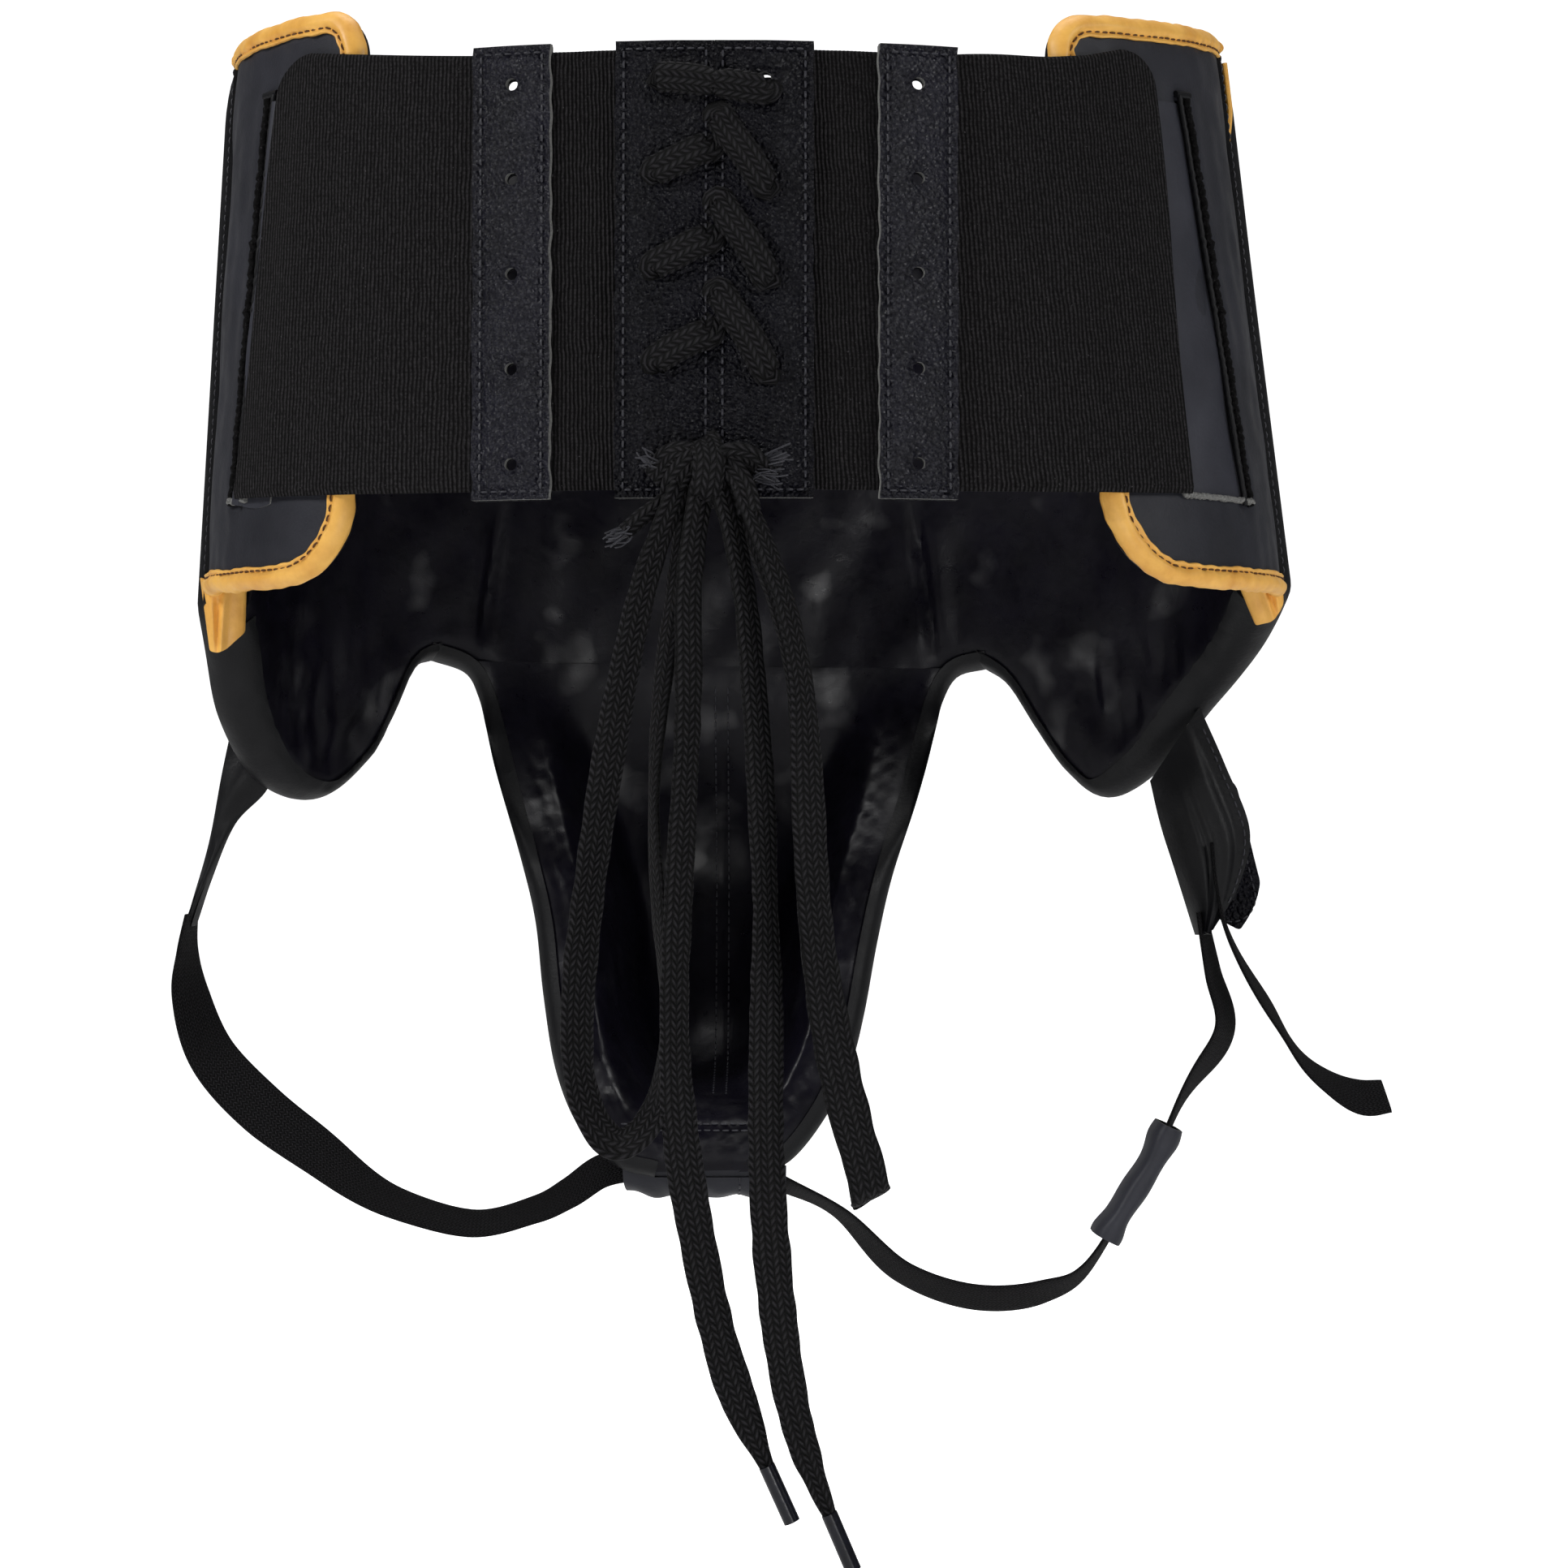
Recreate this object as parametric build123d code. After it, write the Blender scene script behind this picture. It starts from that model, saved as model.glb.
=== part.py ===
"""Groin protector for boxing, as it sits round the waist with its laces hanging.

+Z is up, +Y is the wearer's front and +X is the wearer's right-hand side seen from behind.
The origin is the centre of the waist ring, level with the middle of the elastic back.
"""
from build123d import *
from math import atan2, cos, degrees, radians, sin, tan
import os

os.makedirs("parts", exist_ok=True)

# ---- driving dimensions, in mm ----
WAIST_A = 145.0          # half width of the ring's inner face at z = 0
WAIST_B = 90.0           # half depth of the ring's inner face at z = 0
FLARE_A = 0.0925         # how much the half width grows for each mm down
FLARE_B = 0.05           # how much the half depth grows for each mm down
CENTRE_X = 4.5           # the ring hangs a little to one side
LEAN_X = 0.034           # and leans further that way for each mm down

LINING = 1.0             # satin lining
FRONT_FOAM = 15.0
FRONT_LEATHER = 2.0
WING_FOAM = 9.5
WING_LEATHER = 2.0
FRONT = LINING + FRONT_FOAM + FRONT_LEATHER
WING = LINING + WING_FOAM + WING_LEATHER

BELT_TOP = 80.0
WING_LOW = -86.0
SHELL_TOP = 90.0         # the cone that every wall is cut from
SHELL_LOW = -160.0

JOIN_Z = -100.0          # where the belt ends and the cup begins
CUP_X = -6.0
RIM_TOP_Y = 78.0         # the cup's rim is flat and leans back towards the crotch
RIM_LOW_Y = 36.0
CUP_LOW = -271.0
# height, half width and front of the cup's horizontal sections
CUP_SECTIONS = [
    (-100.0, 84.0, 113.0),
    (-135.0, 73.0, 128.0),
    (-175.0, 61.0, 134.0),
    (-215.0, 54.0, 124.0),
    (-250.0, 40.0, 98.0),
    (-271.0, 22.0, 68.0),
]
CUP_LAYERS = [("cup_cover", 2.0), ("cup_foam", 5.0), ("cup_hard_shell", 3.0), ("cup_lining", 1.0)]
RIM_PAD_WIDTH = 15.0
RIM_PAD_DEPTH = 8.0

LOBE_X = 128.0
LOBE_LOW = -150.0
BINDING = 1.0            # thickness of the binding tape
BINDING_WIDTH = 5.8      # how far the tape reaches in from the edge

WING_REAR = 102.0        # where each wing's rear edge lies, from the middle
SLOT_Y = -42.0
SLOT_GAP = 2.4
SLOT_TOP = 58.0
SLOT_LOW = -60.5
TONGUE = 1.5
TONGUE_REAR_Y = -62.0
TONGUE_FRONT_Y = -14.0

ELASTIC_IN = 14.3        # the elastic lies this far out from the ring's inner face
ELASTIC = 1.8
ELASTIC_END_Y = -50.0
ELASTIC_TOP = 62.0
ELASTIC_LOW = -62.5
STRIP = 1.9
STRIP_TOP = 64.0
STRIP_LOW = -65.0
BACKING = 1.6
EYELET_STRIP = (46.0, 68.0)
LACING_STRIP = (0.4, 27.0)
EYELET_X = 57.0
EYELET_R = 1.75
LACE_HOLE_X = 14.5
LACE_HOLE_R = 2.2
HOLE_TOP_Z = 53.0
HOLE_PITCH = 27.0
HOLES = 5

LACE = 4.0               # a round tube with the flat lace's cross-section
LACE_BAR_R = 1.4
KNOT_SIZE = (22.0, 11.0, 8.0)
KNOT_AT = (-1.0, -118.5, -58.0)
KNOT_LOW = KNOT_AT[2] - KNOT_SIZE[2] / 2
AGLET_LENGTH = 17.0

STRAP_THICK = 1.8
STRAP_WIDTH = 18.0
STRAP_Y = 48.0
WEBBING_BEND = 11.0
TAIL_WIDTH = 8.0
TAB_DEPTH = 12.0         # the right tab is a sleeve
SEWN_TAB_DEPTH = 5.0     # the left one is sewn flat round its strap
TAB_WALL = 1.8


# ---- the ring ----
def centre_x(z):
    """Where the ring's middle lies at a height."""
    return CENTRE_X - LEAN_X * z


def ring_face(z, out):
    """The ellipse that lies `out` mm outside the ring's inner face at a height."""
    half_width = WAIST_A - FLARE_A * z + out
    half_depth = WAIST_B - FLARE_B * z + out
    return Pos(centre_x(z), 0, z) * Ellipse(half_width, half_depth)


def ring_solid(out):
    return loft([ring_face(SHELL_LOW, out), ring_face(SHELL_TOP, out)])


def wall(inner, outer):
    """The layer of the ring between two distances from its inner face."""
    return ring_solid(outer) - ring_solid(inner)


def slab(x, y, z):
    """A block between two values along each axis."""
    size = (x[1] - x[0], y[1] - y[0], z[1] - z[0])
    middle = ((x[0] + x[1]) / 2, (y[0] + y[1]) / 2, (z[0] + z[1]) / 2)
    return Pos(*middle) * Box(*size)


def prism(outline, y_from, y_to):
    """An outline drawn in X and Z, carried along Y."""
    plane = Plane(origin=(0, y_from, 0), x_dir=(1, 0, 0), z_dir=(0, -1, 0))
    return extrude(plane * outline, amount=-(y_to - y_from))


def one_solid(shape):
    """The largest solid of a shape, as its own part."""
    return sorted(shape.solids(), key=lambda solid: solid.volume)[-1]


# ---- outlines, in X and Z ----
def front_outline():
    """Belt with a hip lobe at each side and a straight stretch where the cup joins it."""
    reach = 190.0
    edges = [Line((-reach, BELT_TOP), (reach, BELT_TOP))]
    for side in (1, -1):
        hip = (side * 165, -96)
        lobe_out = (side * (LOBE_X + 12), LOBE_LOW + 7)
        lobe_in = (side * (LOBE_X - 12), LOBE_LOW + 7)
        arch_low = (CUP_X + side * 99, JOIN_Z - 9)
        arch_end = (CUP_X + side * 89, JOIN_Z)
        edges += [
            Line((side * reach, BELT_TOP), (side * reach, hip[1])),
            Line((side * reach, hip[1]), hip),
            Line(hip, lobe_out),
            ThreePointArc(lobe_out, (side * LOBE_X, LOBE_LOW), lobe_in),
            Line(lobe_in, arch_low),
            ThreePointArc(arch_low, (CUP_X + side * 96, JOIN_Z - 3.5), arch_end),
        ]
    edges.append(Line((CUP_X + 89, JOIN_Z), (CUP_X - 89, JOIN_Z)))
    return make_face(Wire(edges))


def wing_outline(side, grow=0.0):
    """A wing seen from behind: a tight rear top corner and a wide rear bottom corner."""
    rear = WING_REAR - grow
    top = BELT_TOP + grow
    low = WING_LOW - grow
    top_r = 13.0 + grow
    low_r = 22.0 + grow
    reach = 220.0
    slant = 1 - cos(radians(45))
    edges = [
        Line((side * rear, top - top_r), (side * rear, low + low_r)),
        ThreePointArc(
            (side * rear, low + low_r),
            (side * (rear + slant * low_r), low + slant * low_r),
            (side * (rear + low_r), low),
        ),
        Line((side * (rear + low_r), low), (side * reach, low)),
        Line((side * reach, low), (side * reach, top)),
        Line((side * reach, top), (side * (rear + top_r), top)),
        ThreePointArc(
            (side * (rear + top_r), top),
            (side * (rear + slant * top_r), top - slant * top_r),
            (side * rear, top - top_r),
        ),
    ]
    return make_face(Wire(edges))


# ---- front body ----
def front_body():
    region = prism(front_outline(), 0, 200)
    layers = {}
    start = 0.0
    for name, thick in (("front_lining", LINING), ("front_foam", FRONT_FOAM), ("front_cover", FRONT_LEATHER)):
        layers[name] = one_solid(wall(start, start + thick) & region)
        start += thick
    return layers


def front_binding():
    """Tape folded over the belt's top edge, as a channel open downwards."""
    channel = wall(-BINDING, FRONT + BINDING)
    channel &= slab((-220, 220), (0, 220), (BELT_TOP - BINDING_WIDTH, BELT_TOP + BINDING))
    channel -= wall(0, FRONT) & slab((-220, 220), (-1, 220), (-10, BELT_TOP))
    return one_solid(channel)


# ---- cup ----
def rim_y(z):
    """The rim's depth at a height: it is one flat, leaning plane."""
    share = (z - JOIN_Z) / (CUP_LOW - JOIN_Z)
    return RIM_TOP_Y + share * (RIM_LOW_Y - RIM_TOP_Y)


def cup_solid(inset):
    """The full dome, with its surface moved in by `inset`."""
    faces = []
    for z, half_width, front in CUP_SECTIONS:
        middle = rim_y(z)
        height = max(z, CUP_LOW + inset)
        faces.append(Pos(CUP_X, middle, height) * Ellipse(half_width - inset, front - middle - inset))
    return loft(faces)


def rim_slab(front, back):
    """The leaning slab between two distances in front of the rim's plane."""
    lean = degrees(atan2(RIM_TOP_Y - RIM_LOW_Y, JOIN_Z - CUP_LOW))
    middle_z = (JOIN_Z + CUP_LOW) / 2
    place = Pos(CUP_X, rim_y(middle_z), middle_z) * Rot(-lean, 0, 0)
    return place * slab((-150, 150), (back, front), (-150, 150))


def cup():
    parts = {}
    inset = 0.0
    for name, thick in CUP_LAYERS:
        shell = cup_solid(inset) - cup_solid(inset + thick)
        parts[name] = one_solid(shell & rim_slab(200, 0))
        inset += thick
    pad = cup_solid(0) - cup_solid(RIM_PAD_WIDTH)
    parts["cup_rim_pad"] = one_solid(pad & rim_slab(0, -RIM_PAD_DEPTH))
    return parts


def crotch_anchor():
    """Leather tab under the cup's tip that the two leg straps are sewn into."""
    tab = slab((CUP_X - 22, CUP_X + 22), (STRAP_Y - 14, STRAP_Y + 12), (CUP_LOW - 5.2, CUP_LOW - 0.2))
    return fillet(tab.edges().filter_by(Axis.Z), 5)


# ---- wings and tongues ----
def wing(side, name):
    region = prism(wing_outline(side), -200, 0)
    slot = slab((-220, 220), (SLOT_Y - SLOT_GAP / 2, SLOT_Y + SLOT_GAP / 2), (SLOT_LOW, SLOT_TOP))
    parts = {}
    start = 0.0
    for layer, thick in (("lining", LINING), ("foam", WING_FOAM), ("cover", WING_LEATHER)):
        body = (wall(start, start + thick) & region) - slot
        parts[f"{name}_wing_{layer}"] = one_solid(body)
        start += thick
    tape = wall(-BINDING, WING + BINDING) & prism(wing_outline(side, BINDING), -200, 0)
    tape -= prism(wing_outline(side, -BINDING_WIDTH), -200, 1)
    tape -= wall(0, WING) & prism(wing_outline(side), -200, 1)
    parts[f"{name}_wing_binding"] = one_solid(tape)
    return parts


def tongue(side):
    """Leather that runs from under the elastic, through the wing's slot and along its inside."""
    half = slab((0, 220) if side > 0 else (-220, 0), (-200, 0), (SLOT_LOW + 1, SLOT_TOP - 1))
    slot_y = (SLOT_Y - TONGUE / 2, SLOT_Y + TONGUE / 2)
    outside = wall(WING + 0.1, WING + 0.1 + TONGUE) & slab((-220, 220), (TONGUE_REAR_Y, slot_y[1]), (-80, 80))
    through = wall(-0.1 - TONGUE, WING + 0.1 + TONGUE) & slab((-220, 220), slot_y, (-80, 80))
    inside = wall(-0.1 - TONGUE, -0.1) & slab((-220, 220), (slot_y[0], TONGUE_FRONT_Y), (-80, 80))
    return one_solid((outside + through + inside) & half)


# ---- elastic back with its strips ----
def hole_heights():
    return [HOLE_TOP_Z - HOLE_PITCH * step for step in range(HOLES)]


def punches(x, radius):
    """One long cylinder along Y for each hole of a strip."""
    tools = [Pos(x, -100, z) * Rot(90, 0, 0) * Cylinder(radius, 60) for z in hole_heights()]
    return Compound(children=tools)


def band(side, span, inner, thick, top, low):
    """A strip of the elastic back between two distances from the middle."""
    x = sorted((side * span[0], side * span[1]))
    return wall(inner, inner + thick) & slab(x, (-200, -20), (low, top))


def elastic_back(side, name):
    eyelets = punches(side * EYELET_X, EYELET_R)
    laced = punches(side * LACE_HOLE_X, LACE_HOLE_R)
    outside = ELASTIC_IN + ELASTIC + 0.1
    under = ELASTIC_IN - 0.1 - BACKING
    middle = (EYELET_STRIP[0] + EYELET_STRIP[1]) / 2 + 6
    panel = band(side, (middle, 220), ELASTIC_IN, ELASTIC, ELASTIC_TOP, ELASTIC_LOW)
    panel &= slab((-220, 220), (-200, ELASTIC_END_Y), (-80, 80))
    gusset = band(side, (LACING_STRIP[0] + 2, middle), ELASTIC_IN, ELASTIC, ELASTIC_TOP, ELASTIC_LOW)
    eyelet_front = band(side, EYELET_STRIP, outside, STRIP, STRIP_TOP, STRIP_LOW)
    eyelet_back = band(side, EYELET_STRIP, under, BACKING, STRIP_TOP, STRIP_LOW)
    lacing_front = band(side, LACING_STRIP, outside, STRIP, STRIP_TOP, STRIP_LOW)
    lacing_back = band(side, LACING_STRIP, under, BACKING, STRIP_TOP, STRIP_LOW)
    return {
        f"{name}_elastic_panel": one_solid(panel),
        f"{name}_elastic_gusset": one_solid(gusset - eyelets - laced),
        f"{name}_eyelet_strip": one_solid(eyelet_front - eyelets),
        f"{name}_eyelet_backing": one_solid(eyelet_back - eyelets),
        f"{name}_lacing_strip": one_solid(lacing_front - laced),
        f"{name}_lacing_backing": one_solid(lacing_back - laced),
    }


def rod(start, end, radius):
    """A round bar between two points."""
    run = Vector(*end) - Vector(*start)
    return Plane(origin=start, z_dir=run) * Cylinder(radius, run.length, align=(Align.CENTER, Align.CENTER, Align.MIN))


def lacing(side):
    """Half of the criss-cross lacing: each bar runs from a hole to the middle."""
    heights = hole_heights()
    rises = [0.0] + [8.0 if side < 0 else 15.0] * (HOLES - 2)
    bars = []
    for z, rise in zip(heights, rises):
        depth = WAIST_B - FLARE_B * z + ELASTIC_IN + ELASTIC + 0.1 + STRIP + LACE_BAR_R + 0.3
        bars.append(rod((side * LACE_HOLE_X, -depth, z), (side * 0.5, -depth, z + rise), LACE_BAR_R).solid())
    return Compound(children=bars)


# ---- hanging laces, as the points that each lace follows ----
LEFT_END_ROUTE = [
    (-3, -121, KNOT_LOW), (-7.5, -121.5, -86), (-6.5, -121, -118), (-9, -120, -164), (-11.4, -119, -209),
    (-9.5, -119, -243), (-4.6, -119, -271), (0.5, -118, -296), (7, -118, -317), (14.7, -118, -334),
]
RIGHT_END_ROUTE = [
    (2, -121, KNOT_LOW), (8, -122, -84), (11.3, -122.5, -118), (13.6, -122, -153), (14.9, -121, -198),
    (14.2, -120, -243), (16, -120, -277), (20.4, -119, -312), (26, -119, -333), (32, -119, -347),
]
LEFT_LOOP_ROUTE = [
    (-9, -121, KNOT_LOW), (-15, -122, -76), (-21, -123, -96), (-28.5, -124, -134), (-34.8, -124, -177),
    (-38, -123, -208), (-37, -121, -232), (-28, -119, -247), (-17, -117, -240), (-13, -115.5, -220),
    (-14.5, -115, -190), (-17.5, -115, -151), (-14, -115, -112), (-9, -115.5, -82), (-7, -115.8, KNOT_LOW),
]
RIGHT_LOOP_ROUTE = [
    (7, -121, KNOT_LOW), (13, -123, -76), (20, -125, -95), (25, -125.5, -118), (26, -125, -146),
    (27.5, -124, -178), (32, -124, -212), (38, -123, -238), (42, -123, -251), (43.5, -122.5, -259),
    (43.5, -114.5, -259.5), (42, -114, -251), (37, -114, -238), (31, -114, -212), (26.5, -115, -178),
    (25, -116.5, -146), (24, -117, -118), (18, -117, -93), (11, -116.5, -76), (5, -115.8, KNOT_LOW),
]


def corner_radii(route):
    """The largest arc that fits each corner of a route."""
    radii = []
    for before, corner, after in zip(route, route[1:], route[2:]):
        run_in = Vector(*corner) - Vector(*before)
        run_out = Vector(*after) - Vector(*corner)
        half_turn = radians(run_in.get_angle(run_out)) / 2
        radii.append(0.45 * min(run_in.length, run_out.length) / tan(half_turn))
    return radii


def lace_tube(name, route):
    radii = corner_radii(route)
    path = FilletPolyline(*route, radius=radii)
    section = Plane(origin=path @ 0, z_dir=path % 0) * Circle(LACE / 2)
    print(name, "length", round(path.length, 1), "smallest radius", round(min(radii), 1))
    return sweep(section, path=path)


def aglet(route):
    """The moulded tip that carries on from a lace's last run."""
    end = Vector(*route[-1])
    direction = (end - Vector(*route[-2])).normalized()
    start = end + direction * 0.05
    return rod(tuple(start), tuple(start + direction * AGLET_LENGTH), LACE / 2 + 0.3)


def knot():
    block = Pos(*KNOT_AT) * Box(*KNOT_SIZE)
    return fillet(block.edges().filter_by(Axis.Z), 4)


# ---- leg tabs and straps, drawn in X and Z ----
def tab_corners(side):
    """Root edge along the hip lobe, then down to the tab's open end."""
    return [(side * 142, -146), (side * 156, -122), (side * 169, -184), (side * 156, -193)]


def leg_tab(side, depth):
    """Folded leather between a hip lobe and its leg strap."""
    outline = make_face(Polyline(*tab_corners(side), close=True))
    return prism(outline, STRAP_Y - depth / 2, STRAP_Y + depth / 2)


def tab_room():
    """The pocket in the right tab, open at its lower end, that the strap's tail runs out of."""
    mouth = [(150, -150), (156, -138), (169, -190), (156, -199)]
    half = TAB_DEPTH / 2 - TAB_WALL
    return prism(make_face(Polyline(*mouth, close=True)), STRAP_Y - half, STRAP_Y + half)


def webbing(route, along_y, across):
    """Webbing along a route in X and Z, with its size along Y and across the route."""
    points = [(x, STRAP_Y, z) for x, z in route]
    path = FilletPolyline(*points, radius=WEBBING_BEND)
    section = Plane(origin=path @ 0, x_dir=(0, 1, 0), z_dir=path % 0) * Rectangle(along_y, across)
    return sweep(section, path=path)


LEFT_STRAP_ROUTE = [
    (-163, -192), (-171, -212), (-166, -233), (-150, -250), (-131, -264), (-107, -280), (-82, -287), (-58, -282),
    (-29, -273.5),
]
RIGHT_STRAP_ROUTE = [
    (155, -197.5), (162, -226), (147, -250), (121, -297), (103, -309), (80, -312), (58, -303), (38, -284), (17, -273.5),
]
SLEEVE_ENDS = ((144, -255.4), (124, -291.6))
TAIL_ROUTE = [(157.1, -164), (165.6, -209), (177, -232), (190, -243.5), (206, -247)]


def strap_sleeve():
    """Leather wrapped round the right strap's splice."""
    start = Vector(SLEEVE_ENDS[0][0], STRAP_Y, SLEEVE_ENDS[0][1])
    end = Vector(SLEEVE_ENDS[1][0], STRAP_Y, SLEEVE_ENDS[1][1])
    run = end - start
    plane = Plane(origin=start, x_dir=(0, 1, 0), z_dir=run)
    outer = extrude(plane * Rectangle(STRAP_WIDTH + 4, STRAP_THICK + 4), amount=run.length)
    inner = extrude(plane * Rectangle(STRAP_WIDTH + 0.8, STRAP_THICK + 0.8), amount=run.length)
    return outer - inner


def rounded_tongue():
    """Rounded leather tongue that stands out beside the right tab."""
    shape = Pos(160, -164) * Rot(0, 0, -76) * SlotOverall(58, 21)
    return prism(shape, STRAP_Y + TAB_DEPTH / 2 + 0.4, STRAP_Y + TAB_DEPTH / 2 + 2.8)


# ---- every node ----
nodes = {}
nodes.update(front_body())
nodes["front_binding"] = front_binding()
nodes.update(cup())
nodes["crotch_anchor"] = crotch_anchor()
for side, name in ((-1, "left"), (1, "right")):
    nodes.update(wing(side, name))
    nodes[f"{name}_tongue"] = tongue(side)
    nodes.update(elastic_back(side, name))
    nodes[f"{name}_lacing"] = lacing(side)
nodes["lace_knot"] = knot()
nodes["left_lace_loop"] = lace_tube("left_lace_loop", LEFT_LOOP_ROUTE)
nodes["right_lace_loop"] = lace_tube("right_lace_loop", RIGHT_LOOP_ROUTE)
nodes["left_lace_end"] = lace_tube("left_lace_end", LEFT_END_ROUTE)
nodes["right_lace_end"] = lace_tube("right_lace_end", RIGHT_END_ROUTE)
nodes["left_aglet"] = aglet(LEFT_END_ROUTE)
nodes["right_aglet"] = aglet(RIGHT_END_ROUTE)
nodes["left_leg_tab"] = leg_tab(-1, SEWN_TAB_DEPTH)
nodes["right_leg_tab"] = one_solid(leg_tab(1, TAB_DEPTH) - tab_room())
nodes["left_leg_strap"] = webbing(LEFT_STRAP_ROUTE, STRAP_WIDTH, STRAP_THICK)
nodes["right_leg_strap"] = webbing(RIGHT_STRAP_ROUTE, STRAP_WIDTH, STRAP_THICK)
nodes["right_strap_sleeve"] = strap_sleeve()
nodes["right_strap_tail"] = webbing(TAIL_ROUTE, STRAP_THICK, TAIL_WIDTH)
nodes["right_rounded_tongue"] = rounded_tongue()

for node, shape in nodes.items():
    export_step(shape, f"parts/{node}.step")
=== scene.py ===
"""The looks of a laced groin protector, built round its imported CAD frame.

Lengths are worked out in millimetres, in the frame's axes, and each mesh is written in metres.
"""
import math

import bpy
import numpy as np
from bpy.props import FloatProperty, FloatVectorProperty, IntProperty, PointerProperty
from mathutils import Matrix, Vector


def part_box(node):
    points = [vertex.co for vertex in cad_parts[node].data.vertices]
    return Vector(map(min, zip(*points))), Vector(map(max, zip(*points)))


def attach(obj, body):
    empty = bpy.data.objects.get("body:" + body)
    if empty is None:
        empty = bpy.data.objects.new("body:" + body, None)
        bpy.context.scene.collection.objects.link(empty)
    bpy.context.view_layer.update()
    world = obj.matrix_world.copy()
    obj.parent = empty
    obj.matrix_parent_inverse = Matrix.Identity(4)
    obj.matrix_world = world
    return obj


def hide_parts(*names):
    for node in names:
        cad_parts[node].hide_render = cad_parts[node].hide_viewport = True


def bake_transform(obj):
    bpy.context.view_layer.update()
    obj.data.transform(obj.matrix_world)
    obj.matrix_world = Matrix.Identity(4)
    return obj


bl_info = {
    "name": "Laced Groin Protector",
    "version": (1, 0, 0),
    "blender": (4, 5, 0),
    "location": "3D View > Sidebar > Guard",
    "description": "Builds the leather, satin, elastic, webbing and laces of a padded groin protector",
    "category": "Object",
}

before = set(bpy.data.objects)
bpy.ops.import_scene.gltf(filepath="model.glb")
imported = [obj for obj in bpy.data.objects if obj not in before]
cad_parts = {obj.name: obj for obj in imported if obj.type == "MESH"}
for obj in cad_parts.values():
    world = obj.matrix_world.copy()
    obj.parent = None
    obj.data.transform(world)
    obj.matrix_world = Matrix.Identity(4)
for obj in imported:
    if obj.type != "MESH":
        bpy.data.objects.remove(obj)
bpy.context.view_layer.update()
MM = 0.001


def low_high(node):
    """The lowest and highest corners of a CAD node, in mm."""
    low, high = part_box(node)
    return np.array(low) / MM, np.array(high) / MM


# ---- the ring that the belt, the wings and the elastic follow ----
WAIST_A = 145.0          # half width of its inner face at z = 0
WAIST_B = 90.0           # half depth there
FLARE_A = 0.0925         # growth of the half width for each mm down
FLARE_B = 0.05
CENTRE_X = 4.5           # the ring's middle, and how it leans for each mm down
LEAN_X = 0.034
BELT = 18.0              # full thickness of the front
WING = 12.5              # full thickness of a wing
BELT_TOP = low_high("front_foam")[1][2]
WING_LOW = low_high("right_wing_foam")[0][2]
LEATHER = 2.0
SATIN = 1.0
FRONT_WAY = 1.0
BACK_WAY = -1.0
RIM_LEAN = ((-90.0, -75.0, -5.0, 60.0, 110.0), (-2.0, -3.0, 4.5, 3.0, 0.0))   # the right side's top, by depth

STRAP_Y = 48.0
STRAP_WIDTH = 18.0
SIDES = ((-1.0, "left"), (1.0, "right"))

ARC_ANGLES = np.radians(np.linspace(-120.0, 120.0, 961))
ARC_SPEED = np.hypot((WAIST_A + WING) * np.cos(ARC_ANGLES), (WAIST_B + WING) * np.sin(ARC_ANGLES))
ARC_STEPS = 0.5 * (ARC_SPEED[1:] + ARC_SPEED[:-1]) * np.diff(ARC_ANGLES)
ARC_LENGTHS = np.concatenate([[0.0], np.cumsum(ARC_STEPS)])
ARC_LENGTHS -= ARC_LENGTHS[len(ARC_LENGTHS) // 2]
SIDE_ARC = float(np.interp(math.pi / 2, ARC_ANGLES, ARC_LENGTHS))


def ring_middle(z):
    return CENTRE_X - LEAN_X * z


def ring_point(arc, z, out, way):
    """A point of the ring: an ellipse whose half axes shrink in proportion to height, grown by `out`.

    `arc` is the length along the middle ellipse from its front or back, and `way` picks front or back."""
    angle = np.interp(arc, ARC_LENGTHS, ARC_ANGLES)
    x = ring_middle(z) + (WAIST_A - FLARE_A * z + out) * np.sin(angle)
    y = way * (WAIST_B - FLARE_B * z + out) * np.cos(angle)
    lean = np.interp(y, *RIM_LEAN) * ease(z / 80.0) * ease((x - 70.0) / 30.0)
    return np.stack(np.broadcast_arrays(x, y, z + lean), axis=-1)


def arc_at_angle(degrees):
    return np.interp(np.radians(degrees), ARC_ANGLES, ARC_LENGTHS)


def arc_at_x(x, z, out):
    """The arc length at which the ring, grown by `out`, reaches a given x at a height."""
    sine = np.clip((x - ring_middle(z)) / (WAIST_A - FLARE_A * z + out), -1.0, 1.0)
    return np.interp(np.arcsin(sine), ARC_ANGLES, ARC_LENGTHS)


def arc_at_back_y(y, z, out):
    """The arc length at which the ring's back half lies at a given depth."""
    cosine = np.clip(-y / (WAIST_B - FLARE_B * z + out), -1.0, 1.0)
    return np.interp(np.arccos(cosine), ARC_ANGLES, ARC_LENGTHS)


def belt_y(x, z, out):
    """Depth of the ring's front half at a place seen from behind."""
    share = np.clip((x - ring_middle(z)) / (WAIST_A - FLARE_A * z + out), -1.0, 1.0)
    return (WAIST_B - FLARE_B * z + out) * np.sqrt(1.0 - share * share)


# ---- small mathematics ----
def mix(a, b, share):
    return a + (b - a) * share


def ease(share):
    """Three t squared less two t cubed, held between 0 and 1."""
    t = np.clip(share, 0.0, 1.0)
    return t * t * (3.0 - 2.0 * t)


def round_edge(distance, radius):
    """A quarter circle: 0 at the edge, 1 one radius in from it."""
    left = np.clip(1.0 - distance / radius, 0.0, 1.0)
    return np.sqrt(1.0 - left * left)


def bell(value, width):
    """Gauss's bell, 1 at zero."""
    return np.exp(-(value / width) ** 2)


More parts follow.
